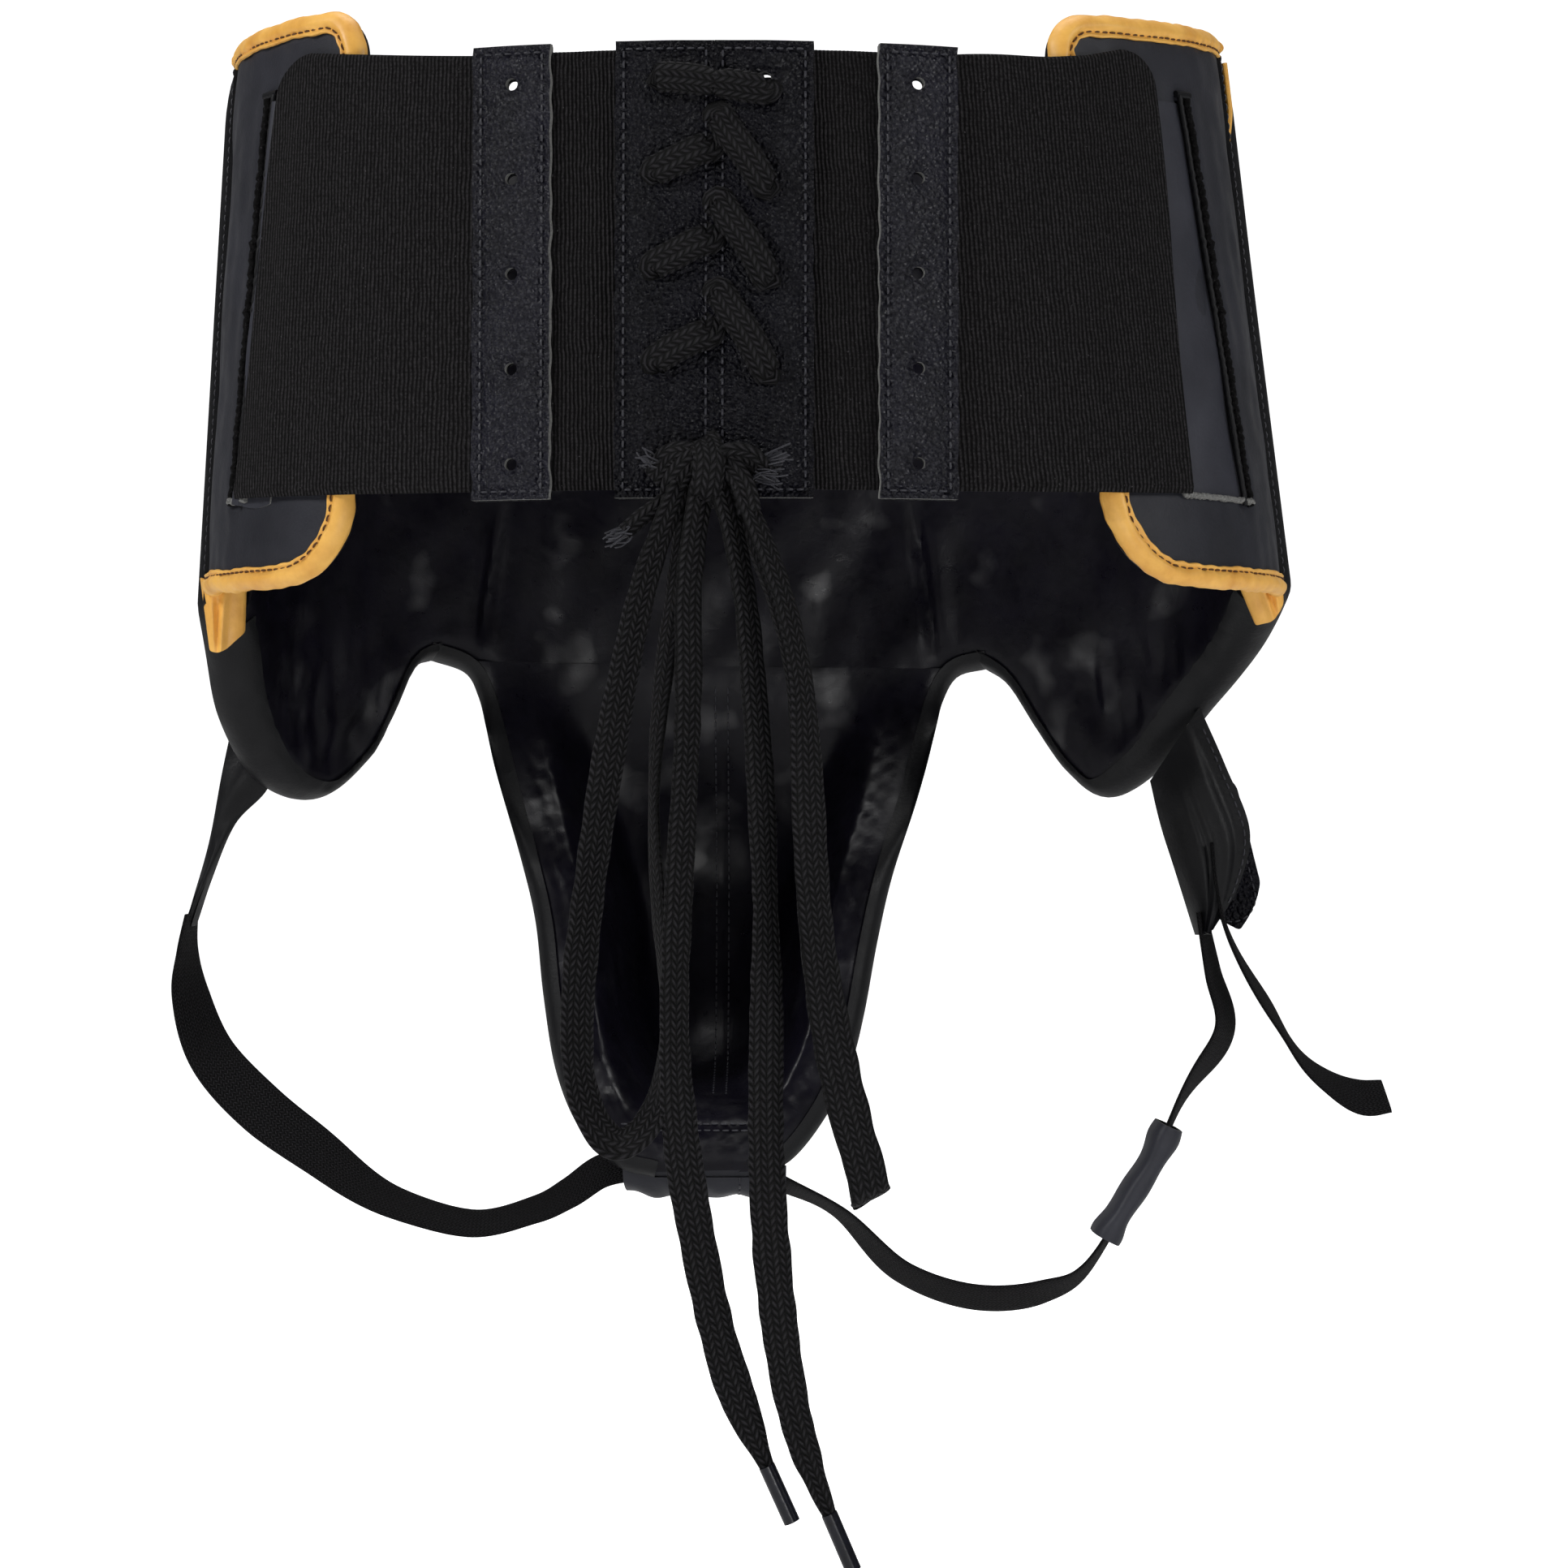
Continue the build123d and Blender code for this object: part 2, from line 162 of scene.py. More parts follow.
def ripples(u, v, pitch, seed, waves=7):
    """A sum of sines in random directions, each about `pitch` long, scaled to about -1..1."""
    random = np.random.default_rng(seed)
    turn = random.uniform(0.0, math.tau, waves)
    size = random.uniform(0.75, 1.35, waves) * math.tau / pitch
    phase = random.uniform(0.0, math.tau, waves)
    total = sum(
        np.sin(size[k] * (np.cos(turn[k]) * u + np.sin(turn[k]) * v) + phase[k]) for k in range(waves)
    )
    return total / math.sqrt(waves)


def smooth_curve(points, per_span=14):
    """Catmull-Rom: a cubic between each two points, along half the step between their neighbours."""
    knots = np.asarray(points, float)
    ends = np.vstack([2 * knots[0] - knots[1], knots, 2 * knots[-1] - knots[-2]])
    a, b, c, d = (ends[k:len(ends) - 3 + k][:, None] for k in range(4))
    t = np.linspace(0.0, 1.0, per_span, endpoint=False)[None, :, None]
    spans = 0.5 * (2 * b + (c - a) * t + (2 * a - 5 * b + 4 * c - d) * t**2 + (3 * b - a - 3 * c + d) * t**3)
    return np.vstack([spans.reshape(-1, knots.shape[1]), knots[-1:]])


def lengths(curve):
    """Distance along a curve at each of its points."""
    return np.concatenate([[0.0], np.cumsum(np.linalg.norm(np.diff(curve, axis=0), axis=1))])


def pick(curve, at):
    """Points of a curve at given distances along it."""
    run = lengths(curve)
    return np.stack([np.interp(at, run, curve[:, k]) for k in range(curve.shape[1])], axis=-1)


def resample(curve, count):
    return pick(curve, np.linspace(0.0, lengths(curve)[-1], count))


def unit(vectors):
    return vectors / np.maximum(np.linalg.norm(vectors, axis=-1, keepdims=True), 1e-9)


def tangents(curve):
    return unit(np.gradient(curve, axis=0))


def rounded_path(corners, radii, step=1.5):
    """Straight runs between corners, each inner corner replaced by an arc of its radius."""
    points = [np.asarray(corners[0], float)]
    for before, corner, after, radius in zip(corners, corners[1:], corners[2:], radii):
        corner = np.asarray(corner, float)
        back = unit(np.asarray(before, float) - corner)
        ahead = unit(np.asarray(after, float) - corner)
        half = 0.5 * math.acos(float(np.clip(back @ ahead, -1.0, 1.0)))
        reach = radius / math.tan(half)
        centre = corner + unit(back + ahead) * radius / math.sin(half)
        first = corner + back * reach - centre
        last = corner + ahead * reach - centre
        sweep = math.pi - 2.0 * half
        t = np.linspace(0.0, 1.0, max(4, int(radius * sweep / step)))[:, None]
        points += list(centre + (first * np.sin((1 - t) * sweep) + last * np.sin(t * sweep)) / math.sin(sweep))
    points.append(np.asarray(corners[-1], float))
    return np.array(points)


def distance_to(curve, u, v):
    """Distance from each place (u, v) to the nearest stretch of a 2-D curve."""
    flat = np.stack([np.ravel(u), np.ravel(v)], axis=-1)
    nearest = np.full(len(flat), 1e9)
    for a, b in zip(curve[:-1], curve[1:]):
        span = b - a
        size = max(float(span @ span), 1e-9)
        t = np.clip(((flat - a) @ span) / size, 0.0, 1.0)
        nearest = np.minimum(nearest, np.hypot(*(flat - a - t[:, None] * span).T))
    return nearest.reshape(np.shape(u))


# ---- meshes ----
def volume(points, faces):
    """Signed volume of a closed mesh, by the divergence theorem."""
    total = 0.0
    for block in faces:
        for k in range(1, block.shape[1] - 1):
            a, b, c = points[block[:, 0]], points[block[:, k]], points[block[:, k + 1]]
            total += float(np.einsum("ij,ij->", a, np.cross(b, c)))
    return total


def make_piece(name, points, faces, materials, uv=None, kinds=None, sharp=38.0, marks=None, closed=True):
    """One mesh object from points in mm and blocks of faces, turned outwards if it is closed."""
    points = np.asarray(points, float).reshape(-1, 3)
    faces = [np.asarray(block, int) for block in faces]
    kinds = [0] * len(faces) if kinds is None else kinds
    whole = [k for k, block in enumerate(faces) if len(block)]
    kinds = [np.broadcast_to(kinds[k], len(faces[k])) for k in whole]
    faces = [faces[k] for k in whole]
    if closed and volume(points, faces) < 0.0:
        faces = [block[:, ::-1] for block in faces]
    corners = np.concatenate([block.ravel() for block in faces])
    used, corners = np.unique(corners, return_inverse=True)
    sizes = np.concatenate([np.full(len(block), block.shape[1]) for block in faces])
    mesh = bpy.data.meshes.new(name)
    mesh.vertices.add(len(used))
    mesh.vertices.foreach_set("co", (points[used] * MM).astype(np.float32).ravel())
    mesh.loops.add(len(corners))
    mesh.loops.foreach_set("vertex_index", corners.astype(np.int32))
    mesh.polygons.add(len(sizes))
    mesh.polygons.foreach_set("loop_start", np.concatenate([[0], np.cumsum(sizes)[:-1]]).astype(np.int32))
    mesh.polygons.foreach_set("material_index", np.concatenate(kinds).astype(np.int32))
    mesh.update(calc_edges=True)
    if uv is not None:
        layer = mesh.uv_layers.new(name="run")
        flat = np.asarray(uv, float).reshape(-1, 2)[used][corners]
        layer.data.foreach_set("uv", flat.astype(np.float32).ravel())
    for label, values in (marks or {}).items():
        mark = mesh.attributes.new(label, "FLOAT", "POINT")
        mark.data.foreach_set("value", np.ravel(values)[used].astype(np.float32))
    mesh.validate()
    mesh.shade_smooth()
    mesh.set_sharp_from_angle(angle=math.radians(sharp))
    for material in materials:
        mesh.materials.append(material)
    piece = bpy.data.objects.new(name, mesh)
    bpy.context.scene.collection.objects.link(piece)
    return piece


def cell_faces(ids, keep):
    """The four corners of each kept cell of a grid of vertex numbers."""
    cells = np.stack([ids[:-1, :-1], ids[:-1, 1:], ids[1:, 1:], ids[1:, :-1]], axis=-1)
    return cells[keep]


def shell_parts(outer, inner, keep=None):
    """Faces of the closed solid between two grids: both skins, and a wall wherever a kept cell ends."""
    rows, columns = outer.shape[:2]
    keep = np.ones((rows - 1, columns - 1), bool) if keep is None else keep
    top = np.arange(rows * columns).reshape(rows, columns)
    low = top + rows * columns
    padded = np.pad(keep, 1)
    above, below = padded[:-1, 1:-1], padded[1:, 1:-1]
    left, right = padded[1:-1, :-1], padded[1:-1, 1:]
    walls = []
    for wanted, a, b in (
        (below & ~above, (slice(None), slice(1, None)), (slice(None), slice(None, -1))),
        (above & ~below, (slice(None), slice(None, -1)), (slice(None), slice(1, None))),
        (right & ~left, (slice(None, -1), slice(None)), (slice(1, None), slice(None))),
        (left & ~right, (slice(1, None), slice(None)), (slice(None, -1), slice(None))),
    ):
        walls.append(np.stack([top[a], top[b], low[b], low[a]], axis=-1)[wanted])
    return [cell_faces(top, keep), cell_faces(low, keep)[:, ::-1], np.concatenate(walls)]


def shell(name, outer, inner, materials, keep=None, uv=None, kinds=(0, 0, 0), marks=None, sharp=38.0):
    """A closed solid between two grids, with a finish for its outer skin, inner skin and walls."""
    points = np.concatenate([outer.reshape(-1, 3), inner.reshape(-1, 3)])
    both = None if uv is None else np.concatenate([np.reshape(uv, (-1, 2))] * 2)
    doubled = {label: np.concatenate([np.ravel(v)] * 2) for label, v in (marks or {}).items()}
    faces = shell_parts(outer, inner, keep)
    return make_piece(name, points, faces, materials, both, list(kinds), sharp, doubled)


def tube_parts(rings):
    """Points and faces of a closed tube through rings of points, with a pole at each end."""
    count, around = rings.shape[:2]
    ids = np.arange(count * around).reshape(count, around)
    ids = np.concatenate([ids, ids[:, :1]], axis=1)
    keep = np.ones((count - 1, around), bool)
    points = np.concatenate([rings.reshape(-1, 3), rings[:1].mean(1), rings[-1:].mean(1)])
    first, last = count * around, count * around + 1
    start = np.stack([ids[0, 1:], ids[0, :-1], np.full(around, first)], axis=-1)
    end = np.stack([ids[-1, :-1], ids[-1, 1:], np.full(around, last)], axis=-1)
    return points, [cell_faces(ids, keep), start, end]


def joined(parts):
    """Several (points, face blocks) put together as one."""
    points, blocks, base = [], [], 0
    for some, faces in parts:
        some = np.asarray(some, float).reshape(-1, 3)
        points.append(some)
        blocks += [np.asarray(block, int) + base for block in faces]
        base += len(some)
    return np.concatenate(points), blocks


def section(half_width, half_height, around=16, power=2.0):
    """A superellipse: |x/a|^p + |y/b|^p = 1."""
    turn = np.linspace(0.0, math.tau, around, endpoint=False)
    c, s = np.cos(turn), np.sin(turn)
    reach = (np.abs(c) ** power + np.abs(s) ** power) ** (-1.0 / power)
    return np.stack([half_width * reach * c, half_height * reach * s], axis=-1)


def band(line, across, width, thick, around=16, power=3.0):
    """Rings of a flat band: a superellipse `width` by `thick` carried along a line."""
    along = tangents(line)
    across = unit(across - np.sum(across * along, axis=-1, keepdims=True) * along)
    upward = np.cross(along, across)
    shape = section(0.5, 0.5, around, power)
    wide = np.broadcast_to(width, len(line))[:, None, None] * shape[None, :, :1]
    tall = np.broadcast_to(thick, len(line))[:, None, None] * shape[None, :, 1:]
    return line[:, None] + across[:, None] * wide + upward[:, None] * tall


def band_uv(line, width, around=16):
    """Across and along a band, in mm, for its rings and then its two poles."""
    run = lengths(line)
    side = section(0.5, 0.5, around, 3.0)[:, 0]
    wide = np.broadcast_to(width, len(line))[:, None] * side[None, :]
    grid = np.stack([wide, np.broadcast_to(run[:, None], wide.shape)], axis=-1).reshape(-1, 2)
    return np.concatenate([grid, [[0.0, run[0]], [0.0, run[-1]]]])


def thread_parts(path, outward, pitch, long, thick, lift=0.0):
    """Small capsules along a path, one for each stitch: six-sided rings, widest in the middle."""
    total = lengths(path)[-1]
    at = np.arange(pitch * 0.5, total - pitch * 0.25, pitch)
    middle = pick(path, at)
    along = unit(pick(path, at + 0.4) - pick(path, at - 0.4))
    upward = unit(outward_at(path, outward, at))
    sideways = unit(np.cross(along, upward))
    step = np.array([-0.5, -0.42, 0.0, 0.42, 0.5]) * long
    size = np.array([0.35, 0.85, 1.0, 0.85, 0.35]) * thick / 2
    rise = np.array([-0.55, -0.1, 0.25, -0.1, -0.55]) * thick + lift
    turn = np.linspace(0.0, math.tau, 6, endpoint=False)
    ring = sideways[:, None, None] * (size[:, None] * np.cos(turn))[None, :, :, None]
    ring = ring + upward[:, None, None] * (size[:, None] * np.sin(turn) + rise[:, None])[None, :, :, None]
    points = middle[:, None, None] + along[:, None, None] * step[None, :, None, None] + ring
    ids = np.arange(5 * 6).reshape(5, 6)
    ids = np.concatenate([ids, ids[:, :1]], axis=1)
    body = cell_faces(ids, np.ones((4, 6), bool))
    caps = np.array([[3, 2, 1, 0], [5, 4, 3, 0], [24, 25, 26, 27], [24, 27, 28, 29]])
    faces = np.concatenate([body, caps])
    every = (faces[None] + (np.arange(len(at)) * 30)[:, None, None]).reshape(-1, 4)
    return points.reshape(-1, 3), [every]


def outward_at(path, outward, at):
    run = lengths(path)
    return np.stack([np.interp(at, run, outward[:, k]) for k in range(3)], axis=-1)


def stitching(name, lines, body, pitch=2.9, long=2.1, thick=0.55, lift=0.15, material=None):
    """Every stitch line of a sub-part, as one piece."""
    points, faces = joined([thread_parts(path, outward, pitch, long, thick, lift) for path, outward in lines])
    piece = make_piece(name, points, faces, [material or MATERIALS["thread"]], closed=False)
    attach(piece, body)
    return piece


# ---- finishes ----
MATERIALS = {}


class Finish:
    """A Principled material and the few node shapes that this object's finishes share."""

    def __init__(self, name, colour, roughness, specular=0.5, **sockets):
        self.material = bpy.data.materials.new(name)
        self.material.use_nodes = True
        self.tree = self.material.node_tree
        self.shader = self.tree.nodes["Principled BSDF"]
        self.set("Base Color", (*colour, 1.0))
        self.set("Roughness", roughness)
        self.set("Specular IOR Level", specular)
        for socket, value in sockets.items():
            self.set(socket.replace("_", " "), value)
        self.colour = colour
        self.material.diffuse_color = (*colour, 1.0)
        self.height = None

    def set(self, socket, value):
        self.shader.inputs[socket].default_value = value

    def node(self, kind, inputs=None, **settings):
        made = self.tree.nodes.new(kind)
        for key, value in settings.items():
            setattr(made, key, value)
        for key, value in (inputs or {}).items():
            if isinstance(value, bpy.types.NodeSocket):
                self.tree.links.new(value, made.inputs[key])
            else:
                made.inputs[key].default_value = value
        return made

    def place(self):
        return self.node("ShaderNodeTexCoord").outputs["Object"]

    def run(self):
        """The piece's own across and along, in mm."""
        return self.node("ShaderNodeSeparateXYZ", {0: self.node("ShaderNodeUVMap", uv_map="run").outputs[0]})

    def math(self, operation, *values, clamp=False):
        made = self.node("ShaderNodeMath", operation=operation, use_clamp=clamp)
        for k, value in enumerate(values):
            if isinstance(value, bpy.types.NodeSocket):
                self.tree.links.new(value, made.inputs[k])
            else:
                made.inputs[k].default_value = value
        return made.outputs[0]

    def noise(self, scale, detail=3.0, roughness=0.5, vector=None, distortion=0.0):
        inputs = {"Scale": scale, "Detail": detail, "Roughness": roughness, "Distortion": distortion}
        inputs["Vector"] = vector or self.place()
        return self.node("ShaderNodeTexNoise", inputs).outputs[0]

    def cells(self, scale, feature="F1", vector=None, smooth=None):
        inputs = {"Scale": scale, "Vector": vector or self.place()}
        if smooth is not None:
            inputs["Smoothness"] = smooth
        return self.node("ShaderNodeTexVoronoi", inputs, feature=feature).outputs["Distance"]

    def spread(self, value, low, high, to_low=0.0, to_high=1.0):
        made = self.node("ShaderNodeMapRange", {"Value": value, "From Min": low, "From Max": high})
        made.inputs["To Min"].default_value = to_low
        made.inputs["To Max"].default_value = to_high
        return made.outputs[0]

    def tint(self, value, *stops):
        """Colour by value, through (place, colour) stops."""
        ramp = self.node("ShaderNodeValToRGB", {0: value})
        points = ramp.color_ramp.elements
        while len(points) < len(stops):
            points.new(0.5)
        for point, (place, colour) in zip(points, stops):
            point.position = place
            point.color = (*colour, 1.0)
        return ramp.outputs[0]

    def blend_colours(self, share, a, b):
        made = self.node("ShaderNodeMix", {0: share}, data_type="RGBA")
        for index, value in ((6, a), (7, b)):
            if isinstance(value, bpy.types.NodeSocket):
                self.tree.links.new(value, made.inputs[index])
            else:
                made.inputs[index].default_value = (*value, 1.0)
        return made.outputs[2]

    def link(self, value, socket):
        self.tree.links.new(value, self.shader.inputs[socket])

    def bump(self, height, distance, strength=1.0):
        inputs = {"Height": height, "Distance": distance, "Strength": strength}
        if self.height is not None:
            inputs["Normal"] = self.height
        self.height = self.node("ShaderNodeBump", inputs).outputs[0]
        self.link(self.height, "Normal")


def scaled(colour, share):
    return tuple(min(1.0, c * share) for c in colour)


def smooth_leather(name, colour, worn=1.35):
    """Matte charcoal leather: pores and fine grain, with broad scuffed patches."""
    finish = Finish(name, colour, 0.5, 0.22)
    patches = finish.noise(34.0, 4.0, 0.6)
    finish.link(finish.tint(patches, (0.3, scaled(colour, 0.82)), (0.72, scaled(colour, worn))), "Base Color")
    finish.link(finish.spread(finish.noise(120.0, 3.0), 0.3, 0.7, 0.42, 0.56), "Roughness")
    finish.bump(finish.noise(2600.0, 2.0), 0.00012, 0.35)
    finish.bump(finish.cells(900.0, "SMOOTH_F1", smooth=0.5), 0.00018, 0.25)
    finish.bump(finish.noise(60.0, 3.0), 0.0012, 0.18)
    return finish.material


def pebbled_leather(name, colour, gleam=0.24):
    """Black leather pressed with a pebble grain of about 1 mm, shiny on its crowns and dull in its creases, its colour
    carrying a painted highlight on the crowns and painted shade in the creases.
    """
    finish = Finish(name, colour, 0.36, 0.3)
    grain = finish.cells(780.0, "SMOOTH_F1", smooth=0.35)
    creases = finish.cells(620.0, "DISTANCE_TO_EDGE")
    worn = finish.noise(45.0, 3.0, 0.6)
    crowns = finish.spread(grain, 0.1, 0.6)
    # painted highlight and painted shade: the colour is 1.2 times lighter on each pebble's crown and 0.6 times darker
    # in its creases
    painted_shading = finish.tint(crowns, (0.0, scaled(colour, 1.2)), (1.0, scaled(colour, 0.6)))
    finish.link(finish.blend_colours(finish.spread(worn, 0.4, 0.75, 0.0, 0.45), painted_shading, scaled(colour, 2.2)), "Base Color")
    finish.link(finish.spread(crowns, 0.0, 1.0, 0.28, 0.46), "Roughness")
    finish.link(finish.spread(crowns, 0.0, 1.0, gleam, 0.5 * gleam), "Specular IOR Level")
    finish.bump(finish.math("MULTIPLY", grain, -1.0), 0.0016, 0.95)
    finish.bump(finish.spread(creases, 0.0, 0.12), 0.0004, 0.5)
    finish.bump(finish.noise(80.0, 3.0), 0.0016, 0.3)
    return finish.material


def binding_leather(name, colour):
    """Smooth yellow-tan tape, a little darker and lighter in random patches."""
    finish = Finish(name, colour, 0.38, 0.4)
    patches = finish.noise(90.0, 4.0, 0.6)
    darker = (colour[0] * 0.78, colour[1] * 0.66, colour[2] * 0.5)
    finish.link(finish.tint(patches, (0.28, darker), (0.6, colour), (0.85, scaled(colour, 1.12))), "Base Color")
    finish.link(finish.spread(finish.noise(200.0), 0.3, 0.7, 0.36, 0.52), "Roughness")
    finish.bump(finish.noise(1800.0, 3.0), 0.00015, 0.35)
    finish.bump(finish.noise(160.0, 3.0), 0.0006, 0.3)
    return finish.material


def satin_lining(name, colour):
    """Close-woven black satin: fine threads, a silky sheen, and crinkles that catch the light."""
    finish = Finish(name, colour, 0.3, 0.2)
    threads = finish.noise(3200.0, 2.0)
    finish.link(finish.spread(finish.noise(42.0, 2.0), 0.58, 0.7, 0.15, 0.62), "Specular IOR Level")
    patches = finish.noise(55.0, 5.0, 0.65)
    finish.link(finish.tint(patches, (0.3, scaled(colour, 0.7)), (0.75, scaled(colour, 1.7))), "Base Color")
    finish.link(finish.spread(finish.noise(210.0, 4.0, 0.6), 0.3, 0.7, 0.26, 0.44), "Roughness")
    finish.bump(threads, 0.0001, 0.3)
    finish.bump(finish.noise(230.0, 3.0, 0.5, distortion=0.6), 0.0007, 0.16)
    finish.bump(finish.noise(60.0, 2.0, 0.5), 0.0016, 0.14)
    return finish.material


def knit_elastic(name, colour, pitch):
    """Ribbed knit: a rib every `pitch` mm across, short loops along each, and pale flecks of rubber, with painted shade
    in the rib valleys and painted highlight on the tops.
    """
    finish = Finish(name, colour, 0.86, 0.07)
    finish.set("Sheen Weight", 0.012)
    run = finish.run()
    sway = finish.spread(finish.noise(160.0, 2.0), 0.3, 0.7, -0.25, 0.25)
    across = finish.math("MULTIPLY", finish.math("ADD", run.outputs[0], sway), math.tau / pitch)
    rib = finish.math("ABSOLUTE", finish.math("SINE", finish.math("MULTIPLY", across, 0.5)))
    shift = finish.math("MULTIPLY", finish.math("SIGN", finish.math("SINE", across)), 0.5)
    along = finish.math("ADD", finish.math("MULTIPLY", run.outputs[1], 1.0 / (0.85 * pitch)), shift)
    loop = finish.math("ABSOLUTE", finish.math("SINE", finish.math("MULTIPLY", along, math.pi)))
    fuzz = finish.noise(1050.0, 4.0, 0.75)
    knit = finish.math("MULTIPLY", rib, finish.math("ADD", finish.math("MULTIPLY", loop, 0.15), 0.85))
    height = finish.math("ADD", finish.math("MULTIPLY", knit, 0.45), finish.math("MULTIPLY", fuzz, 0.8))
    # painted shade and painted highlight: the colour follows the knit's height, 0.12 times in the rib valleys and up to
    # 5 times on the highest ribs and fuzz
    painted_shading = finish.tint(height, (0.42, scaled(colour, 0.12)), (0.7, scaled(colour, 1.2)), (0.98, scaled(colour, 5.0)))
    flecks = finish.spread(finish.noise(1250.0, 3.0), 0.71, 0.78)
    finish.link(finish.blend_colours(flecks, painted_shading, scaled(colour, 12.0)), "Base Color")
    finish.bump(height, 0.0006, 0.9)
    return finish.material


def plaited(name, colour, column, pitch, specular=0.12, roughness=0.62, gleam=2.6):
    """Plait: slanting picks that turn back at each column, each pick a rounded ridge, its colour painted darker in the
    grooves (painted shade) and lighter with glints on the ridges (painted highlight).
    """
    finish = Finish(name, colour, roughness, specular)
    run = finish.run()
    turned = finish.math("PINGPONG", finish.math("MULTIPLY", run.outputs[0], 1.0 / column), 1.0)
    slanted = finish.math("ADD", finish.math("MULTIPLY", run.outputs[1], 1.0 / pitch), finish.math("MULTIPLY", turned, 0.9))
    pick_wave = finish.math("ABSOLUTE", finish.math("SINE", finish.math("MULTIPLY", slanted, math.pi)))
    edge = finish.math("ABSOLUTE", finish.math("SINE", finish.math("MULTIPLY", run.outputs[0], math.pi / column)))
    ridge = finish.math("MULTIPLY", pick_wave, finish.math("POWER", edge, 0.45))
    fibres = finish.noise(2400.0, 3.0)
    # painted shade and painted highlight: 0.12 times the colour in the grooves between picks, up to 1.3 times `gleam`
    # on the ridges
    painted_shading = finish.tint(ridge, (0.15, scaled(colour, 0.12)), (0.7, scaled(colour, 1.2)), (0.98, scaled(colour, gleam * 1.3)))
    # painted glints: fibre noise on the ridges lifts the colour to 2.2 times `gleam`
    glints = finish.spread(fibres, 0.58, 0.72)
    lit = finish.blend_colours(finish.math("MULTIPLY", glints, ridge), painted_shading, scaled(colour, gleam * 2.2))
    finish.link(lit, "Base Color")
    finish.bump(ridge, 0.0007, 0.85)
    finish.bump(fibres, 0.0002, 0.5)
    return finish.material


def knit_lip(colour):
    """Raw folded edge of the slot: coarse fibres with pale tufts."""
    finish = Finish("slot_lip", colour, 0.9, 0.08)
    tufts = finish.noise(1300.0, 4.0, 0.7)
    finish.link(finish.tint(tufts, (0.4, scaled(colour, 0.3)), (0.6, colour), (0.75, scaled(colour, 9.0))), "Base Color")
    finish.bump(tufts, 0.0008, 0.9)
    return finish.material


def plain(name, colour, roughness, specular=0.4, grain=900.0, depth=0.0002):
    """One-colour finish with a fine grain, for thread, cut edges, plastic and foam."""
    finish = Finish(name, colour, roughness, specular)
    speckle = finish.noise(grain, 3.0)
    finish.link(finish.tint(speckle, (0.3, scaled(colour, 0.6)), (0.7, scaled(colour, 1.4))), "Base Color")
    finish.bump(speckle, depth, 0.5)
    return finish.material


def make_finishes(colours):
    charcoal = tuple(colours.leather)
    black = tuple(colours.strips)
    cloth = tuple(colours.elastic)
    MATERIALS["leather"] = smooth_leather("smooth_charcoal_leather", charcoal)
    MATERIALS["soft_leather"] = smooth_leather("soft_black_leather", scaled(charcoal, 0.16), 1.5)
    # painted light: the tongue's leather is the charcoal made 1.5 times lighter for the light falling on its face; the
    # strap sleeve reuses this finish
    MATERIALS["tongue_leather"] = smooth_leather("tongue_leather", scaled(charcoal, 1.5), 1.25)
    MATERIALS["pebbled"] = pebbled_leather("pebbled_black_leather", black)
    MATERIALS["shiny_pebbled"] = pebbled_leather("shiny_pebbled_leather", scaled(black, 2.2), 0.42)
    MATERIALS["binding"] = binding_leather("yellow_binding_leather", tuple(colours.binding))
    MATERIALS["satin"] = satin_lining("black_satin", tuple(colours.satin))
    MATERIALS["elastic"] = knit_elastic("ribbed_elastic", cloth, 1.3)
    MATERIALS["gusset"] = knit_elastic("gathered_elastic", scaled(cloth, 0.95), 1.15)
    MATERIALS["braid"] = plaited("flat_lace_braid", tuple(colours.lace), 1.85, 2.3)
    MATERIALS["webbing"] = plaited("leg_webbing", scaled(tuple(colours.lace), 1.35), 1.0, 1.3, 0.11, 0.75, 2.0)
    MATERIALS["thread"] = plain("black_thread", (0.026, 0.026, 0.033), 0.5, 0.4, 3000.0)
    MATERIALS["binding_thread"] = plain("brown_thread", (0.09, 0.035, 0.012), 0.6, 0.3, 3000.0)
    MATERIALS["cut_edge"] = plain("cut_leather_edge", (0.15, 0.15, 0.145), 0.9, 0.2, 1800.0, 0.0005)
    MATERIALS["lip"] = knit_lip(scaled(cloth, 0.9))
    MATERIALS["foam"] = plain("grey_foam", (0.03, 0.03, 0.032), 0.95, 0.1, 700.0, 0.0006)
    MATERIALS["plastic"] = plain("moulded_plastic", (0.03, 0.03, 0.033), 0.32, 0.5, 500.0, 0.0001)
    MATERIALS["aglet"] = plain("lace_tip_plastic", (0.004, 0.0042, 0.008), 0.2, 0.35, 500.0, 0.0001)


def dress(node, material):
    """Gives a CAD node that stays in view its finish."""
    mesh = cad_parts[node].data
    mesh.materials.clear()
    mesh.materials.append(MATERIALS[material])


# ---- outline of the front, from each hip down its lobe, up the leg arch and down the cup ----
# degrees round the ring from the middle of the front, and height
BELT_EDGE = {
    1.0: [
        (97, -84), (90, -89), (82, -96), (63.5, -120), (53.3, -139), (44.9, -149.5), (39.7, -142),
        (35.7, -127.5), (32.2, -112.5), (29, -106.5),
    ],
    -1.0: [
        (-97, -86), (-90, -95), (-85, -107), (-79.5, -125), (-69, -144.5), (-58.8, -150), (-50.8, -138),
        (-46.9, -123.5), (-43.6, -107.5), (-40.4, -104),
    ],
}
